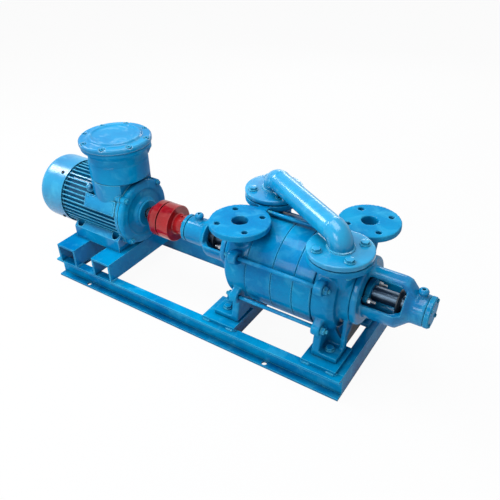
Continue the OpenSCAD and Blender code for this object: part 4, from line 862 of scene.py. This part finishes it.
# Fan cowl: pressed steel under a smooth, thick coat, held by four round-headed screws through its rim.
# The screws are blackened steel with a small round recess.
cowl_enamel = enamel("cowl_enamel", linear(6, 120, 172), linear(24, 158, 202), enamel_edge, grain_scale=130,
                     grain_depth=0.0004, edge_radius=0.002, gloss=0.2, coat=1.0, coat_blur=0.24)
dress(cowl_enamel, "fan_cowl")
blackened = mottled("blackened_steel", linear(16, 22, 30), linear(52, 60, 70), scale=600, rough=0.42,
                    metallic=0.9, depth=0.0002)
cowl_low, cowl_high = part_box("fan_cowl")
cowl_radius = (cowl_high.z - cowl_low.z) / 2
cowl_screw_in = 0.020
cowl_screw_sunk = 0.0006
cowl_screw_turn = math.radians(33)
cowl_screw_rings = [
    (0, 0), (0.0052, 0), (0.0056, 0.0012), (0.0046, 0.0028), (0.0028, 0.0036), (0.0016, 0.0036),
    (0.0012, 0.0022), (0, 0.0022)]
work = bmesh.new()
for i in range(4):
    angle = cowl_screw_turn + i * math.pi / 2
    away = Vector((0, -math.sin(angle), math.cos(angle)))
    axis_spot = Vector((cowl_high.x - cowl_screw_in, 0, shaft_z))
    turned(work, stand(axis_spot + away * (cowl_radius - cowl_screw_sunk), away), cowl_screw_rings)
settle("fan_cowl_screws", work, blackened, "base")

# Terminal box: a thick round flameproof casting under a heavy screwed lid with a raised ring.
# The lid's middle is bare, and its edges are painted near white as a painted highlight.
# Its socket screws were painted over with the box.
cast_skin("terminal_box_casting", "terminal_box", motor_enamel, "cast_paint", voxel=0.002, passes=4, keep=0.4)
lid_enamel = enamel("lid_enamel", linear(6, 116, 172), linear(20, 152, 200), linear(196, 236, 248),
                    grain_scale=130, grain_depth=0.0004, edge_radius=0.0044, gloss=0.2,
                    coat=0.45, coat_blur=0.14, hollow_reach=0.014)
cast_skin("terminal_box_lid_casting", "terminal_box_lid", lid_enamel, "cast_paint",
          voxel=0.0016, passes=3, keep=0.4)
lid_screw_r, lid_screw_head = 0.004, 0.006
lid_screw_edge = 0.0008
lid_screw_twist = 11
lid_socket_share, lid_socket_rim, lid_socket_edge = 0.52, 1.1, 0.0003
work = bmesh.new()
for low, high in solids_of("lid_bolts"):
    middle = (low + high) / 2
    radius = (high.x - low.x) / 2
    socket = radius * lid_socket_share
    seat = high.z - lid_screw_head
    place = stand((middle.x, middle.y, 0), (0, 0, 1), middle.x * lid_screw_twist)
    turned(work, place, [
        (0, low.z), (lid_screw_r, low.z), (lid_screw_r, seat), (radius, seat),
        (radius, high.z - lid_screw_edge), (radius - lid_screw_edge, high.z),
        (socket * lid_socket_rim, high.z), (socket, high.z - lid_socket_edge, 0.0),
        (socket, high.z - socket_depth, 0.0), (0, high.z - socket_depth)])
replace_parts(settle("lid_socket_screws", work, motor_enamel, "base"), "lid_bolts")

# Lifting knob: a round boss on the barrel beside the terminal box, with a ball head to take a sling.
# It is screwed into the frame and painted with it.
boss_x = -0.3235
boss_turn = math.radians(42)
boss_sunk = 0.006
barrel_radius = 0.0945
knob_rings = [
    (0, 0), (0.0150, 0), (0.0142, 0.0085), (0.0128, 0.0100), (0.0074, 0.0104), (0.0072, 0.0118),
    (0.0088, 0.0138), (0.0094, 0.0168), (0.0086, 0.0200), (0.0058, 0.0224), (0, 0.0232)]
work = bmesh.new()
away = Vector((0, -math.sin(boss_turn), math.cos(boss_turn)))
turned(work, stand(Vector((boss_x, 0, shaft_z)) + away * (barrel_radius - boss_sunk), away), knob_rings)
settle("lifting_knob", work, cowl_enamel, "base")

# Rating plate: a bare aluminium plate on the pad of the barrel, held by four drive rivets.
# It was painted over with the motor, so only its edge and its rivets stand out.
plate_length = 0.104
plate_width = 0.034
plate_height = 0.0009
plate_corner, corner_steps = 0.003, 4
plate_sunk, plate_side, plate_bevel = 0.0002, 0.6, 0.0004
rivet_in, rivet_seat, rivet_steps = 0.005, 0.8, 16
rivet_rings = [(0, 0), (0.0026, 0), (0.0024, 0.0009), (0.0014, 0.0016), (0, 0.0018)]
pad_turn = math.radians(65)
pad_radius = 0.0965
pad_middle_x = -0.275
away = Vector((0, -math.sin(pad_turn), math.cos(pad_turn)))
work = bmesh.new()
on_pad = Matrix.Translation(Vector((pad_middle_x, 0, shaft_z)) + away * pad_radius) @ Matrix((
    (1, 0, 0, 0),
    (0, -math.cos(pad_turn), -math.sin(pad_turn), 0),
    (0, -math.sin(pad_turn), math.cos(pad_turn), 0),
    (0, 0, 0, 1)))
outline = []
for sx, sy, first in ((1, 1, 0), (-1, 1, 1), (-1, -1, 2), (1, -1, 3)):
    for k in range(corner_steps + 1):
        angle = (first + k / corner_steps) * math.pi / 2
        outline.append((sx * (plate_length / 2 - plate_corner) + plate_corner * math.cos(angle),
                        sy * (plate_width / 2 - plate_corner) + plate_corner * math.sin(angle)))
levels = []
for inset, height in ((0.0, -plate_sunk), (0.0, plate_height * plate_side), (plate_bevel, plate_height)):
    share_x = 1 - 2 * inset / plate_length
    share_y = 1 - 2 * inset / plate_width
    levels.append([work.verts.new(on_pad @ Vector((x * share_x, y * share_y, height))) for x, y in outline])
for low, high in zip(levels, levels[1:]):
    for k in range(len(outline)):
        n = (k + 1) % len(outline)
        work.faces.new((low[k], low[n], high[n], high[k]))
work.faces.new(levels[0])
work.faces.new(levels[-1])
for sx in (-1, 1):
    for sy in (-1, 1):
        spot = (sx * (plate_length / 2 - rivet_in), sy * (plate_width / 2 - rivet_in),
                plate_height * rivet_seat)
        turned(work, on_pad @ Matrix.Translation(spot), rivet_rings, rivet_steps)
plate_enamel = enamel("plate_enamel", linear(20, 128, 184), linear(58, 170, 214), enamel_edge,
                      grain_scale=320, grain_depth=0.0003, edge_radius=0.001, gloss=0.3)
settle("rating_plate", work, plate_enamel, "base")

# Shield bolts and motor foot bolts: hexagon heads on washers.
# They are steel, painted with the motor.
shield_head = 0.006
shield_bolt_r = 0.004
shield_bolt_twist = 13
motor_washer_share = 1.12
work = bmesh.new()
for low, high in solids_of("shield_bolts"):
    middle = (low + high) / 2
    corner = max(high.z - low.z, high.y - low.y) / 2
    place = stand((0, middle.y, middle.z), (1, 0, 0), middle.y * shield_bolt_twist)
    hex_bolt(work, place, low.x, high.x - shield_head, high.x, corner, shield_bolt_r)
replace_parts(settle("shield_bolts_detailed", work, motor_enamel, "base"), "shield_bolts")

work = bmesh.new()
for low, high in solids_of("motor_foot_bolts"):
    middle = (low + high) / 2
    place = stand((middle.x, middle.y, 0), (0, 0, 1), middle.x * foot_bolt_twist)
    corner = (high.x - low.x) / 2
    hex_bolt(work, place, low.z, high.z - head_height, high.z, corner, foot_bolt_r, motor_washer_share)
foot_bolts = settle("motor_foot_bolts_detailed", work, motor_enamel, "base")
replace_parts(foot_bolts, "motor_foot_bolts")

# Inside the motor: laminated cores, varnished copper windings, a moulded fan and the terminal board.
# Only a little of the fan shows, through the slots in the cowl.
lamination = mottled("lamination", linear(58, 60, 64), linear(118, 120, 124), scale=260, rough=0.5,
                     metallic=0.85, depth=0.0003, band_axis="X", band_scale=900.0)
dress(lamination, "stator_core", "rotor_core")
varnished_copper = mottled("varnished_copper", linear(112, 50, 22), linear(196, 108, 56), scale=260,
                           rough=0.35, metallic=0.8, depth=0.0008, band_axis="Z", band_scale=240.0)
dress(varnished_copper, "stator_windings")
fan_plastic = mottled("fan_plastic", linear(14, 15, 17), linear(38, 40, 44), scale=500, rough=0.5,
                      metallic=0.0, depth=0.0002)
dress(fan_plastic, "cooling_fan", "terminal_board")
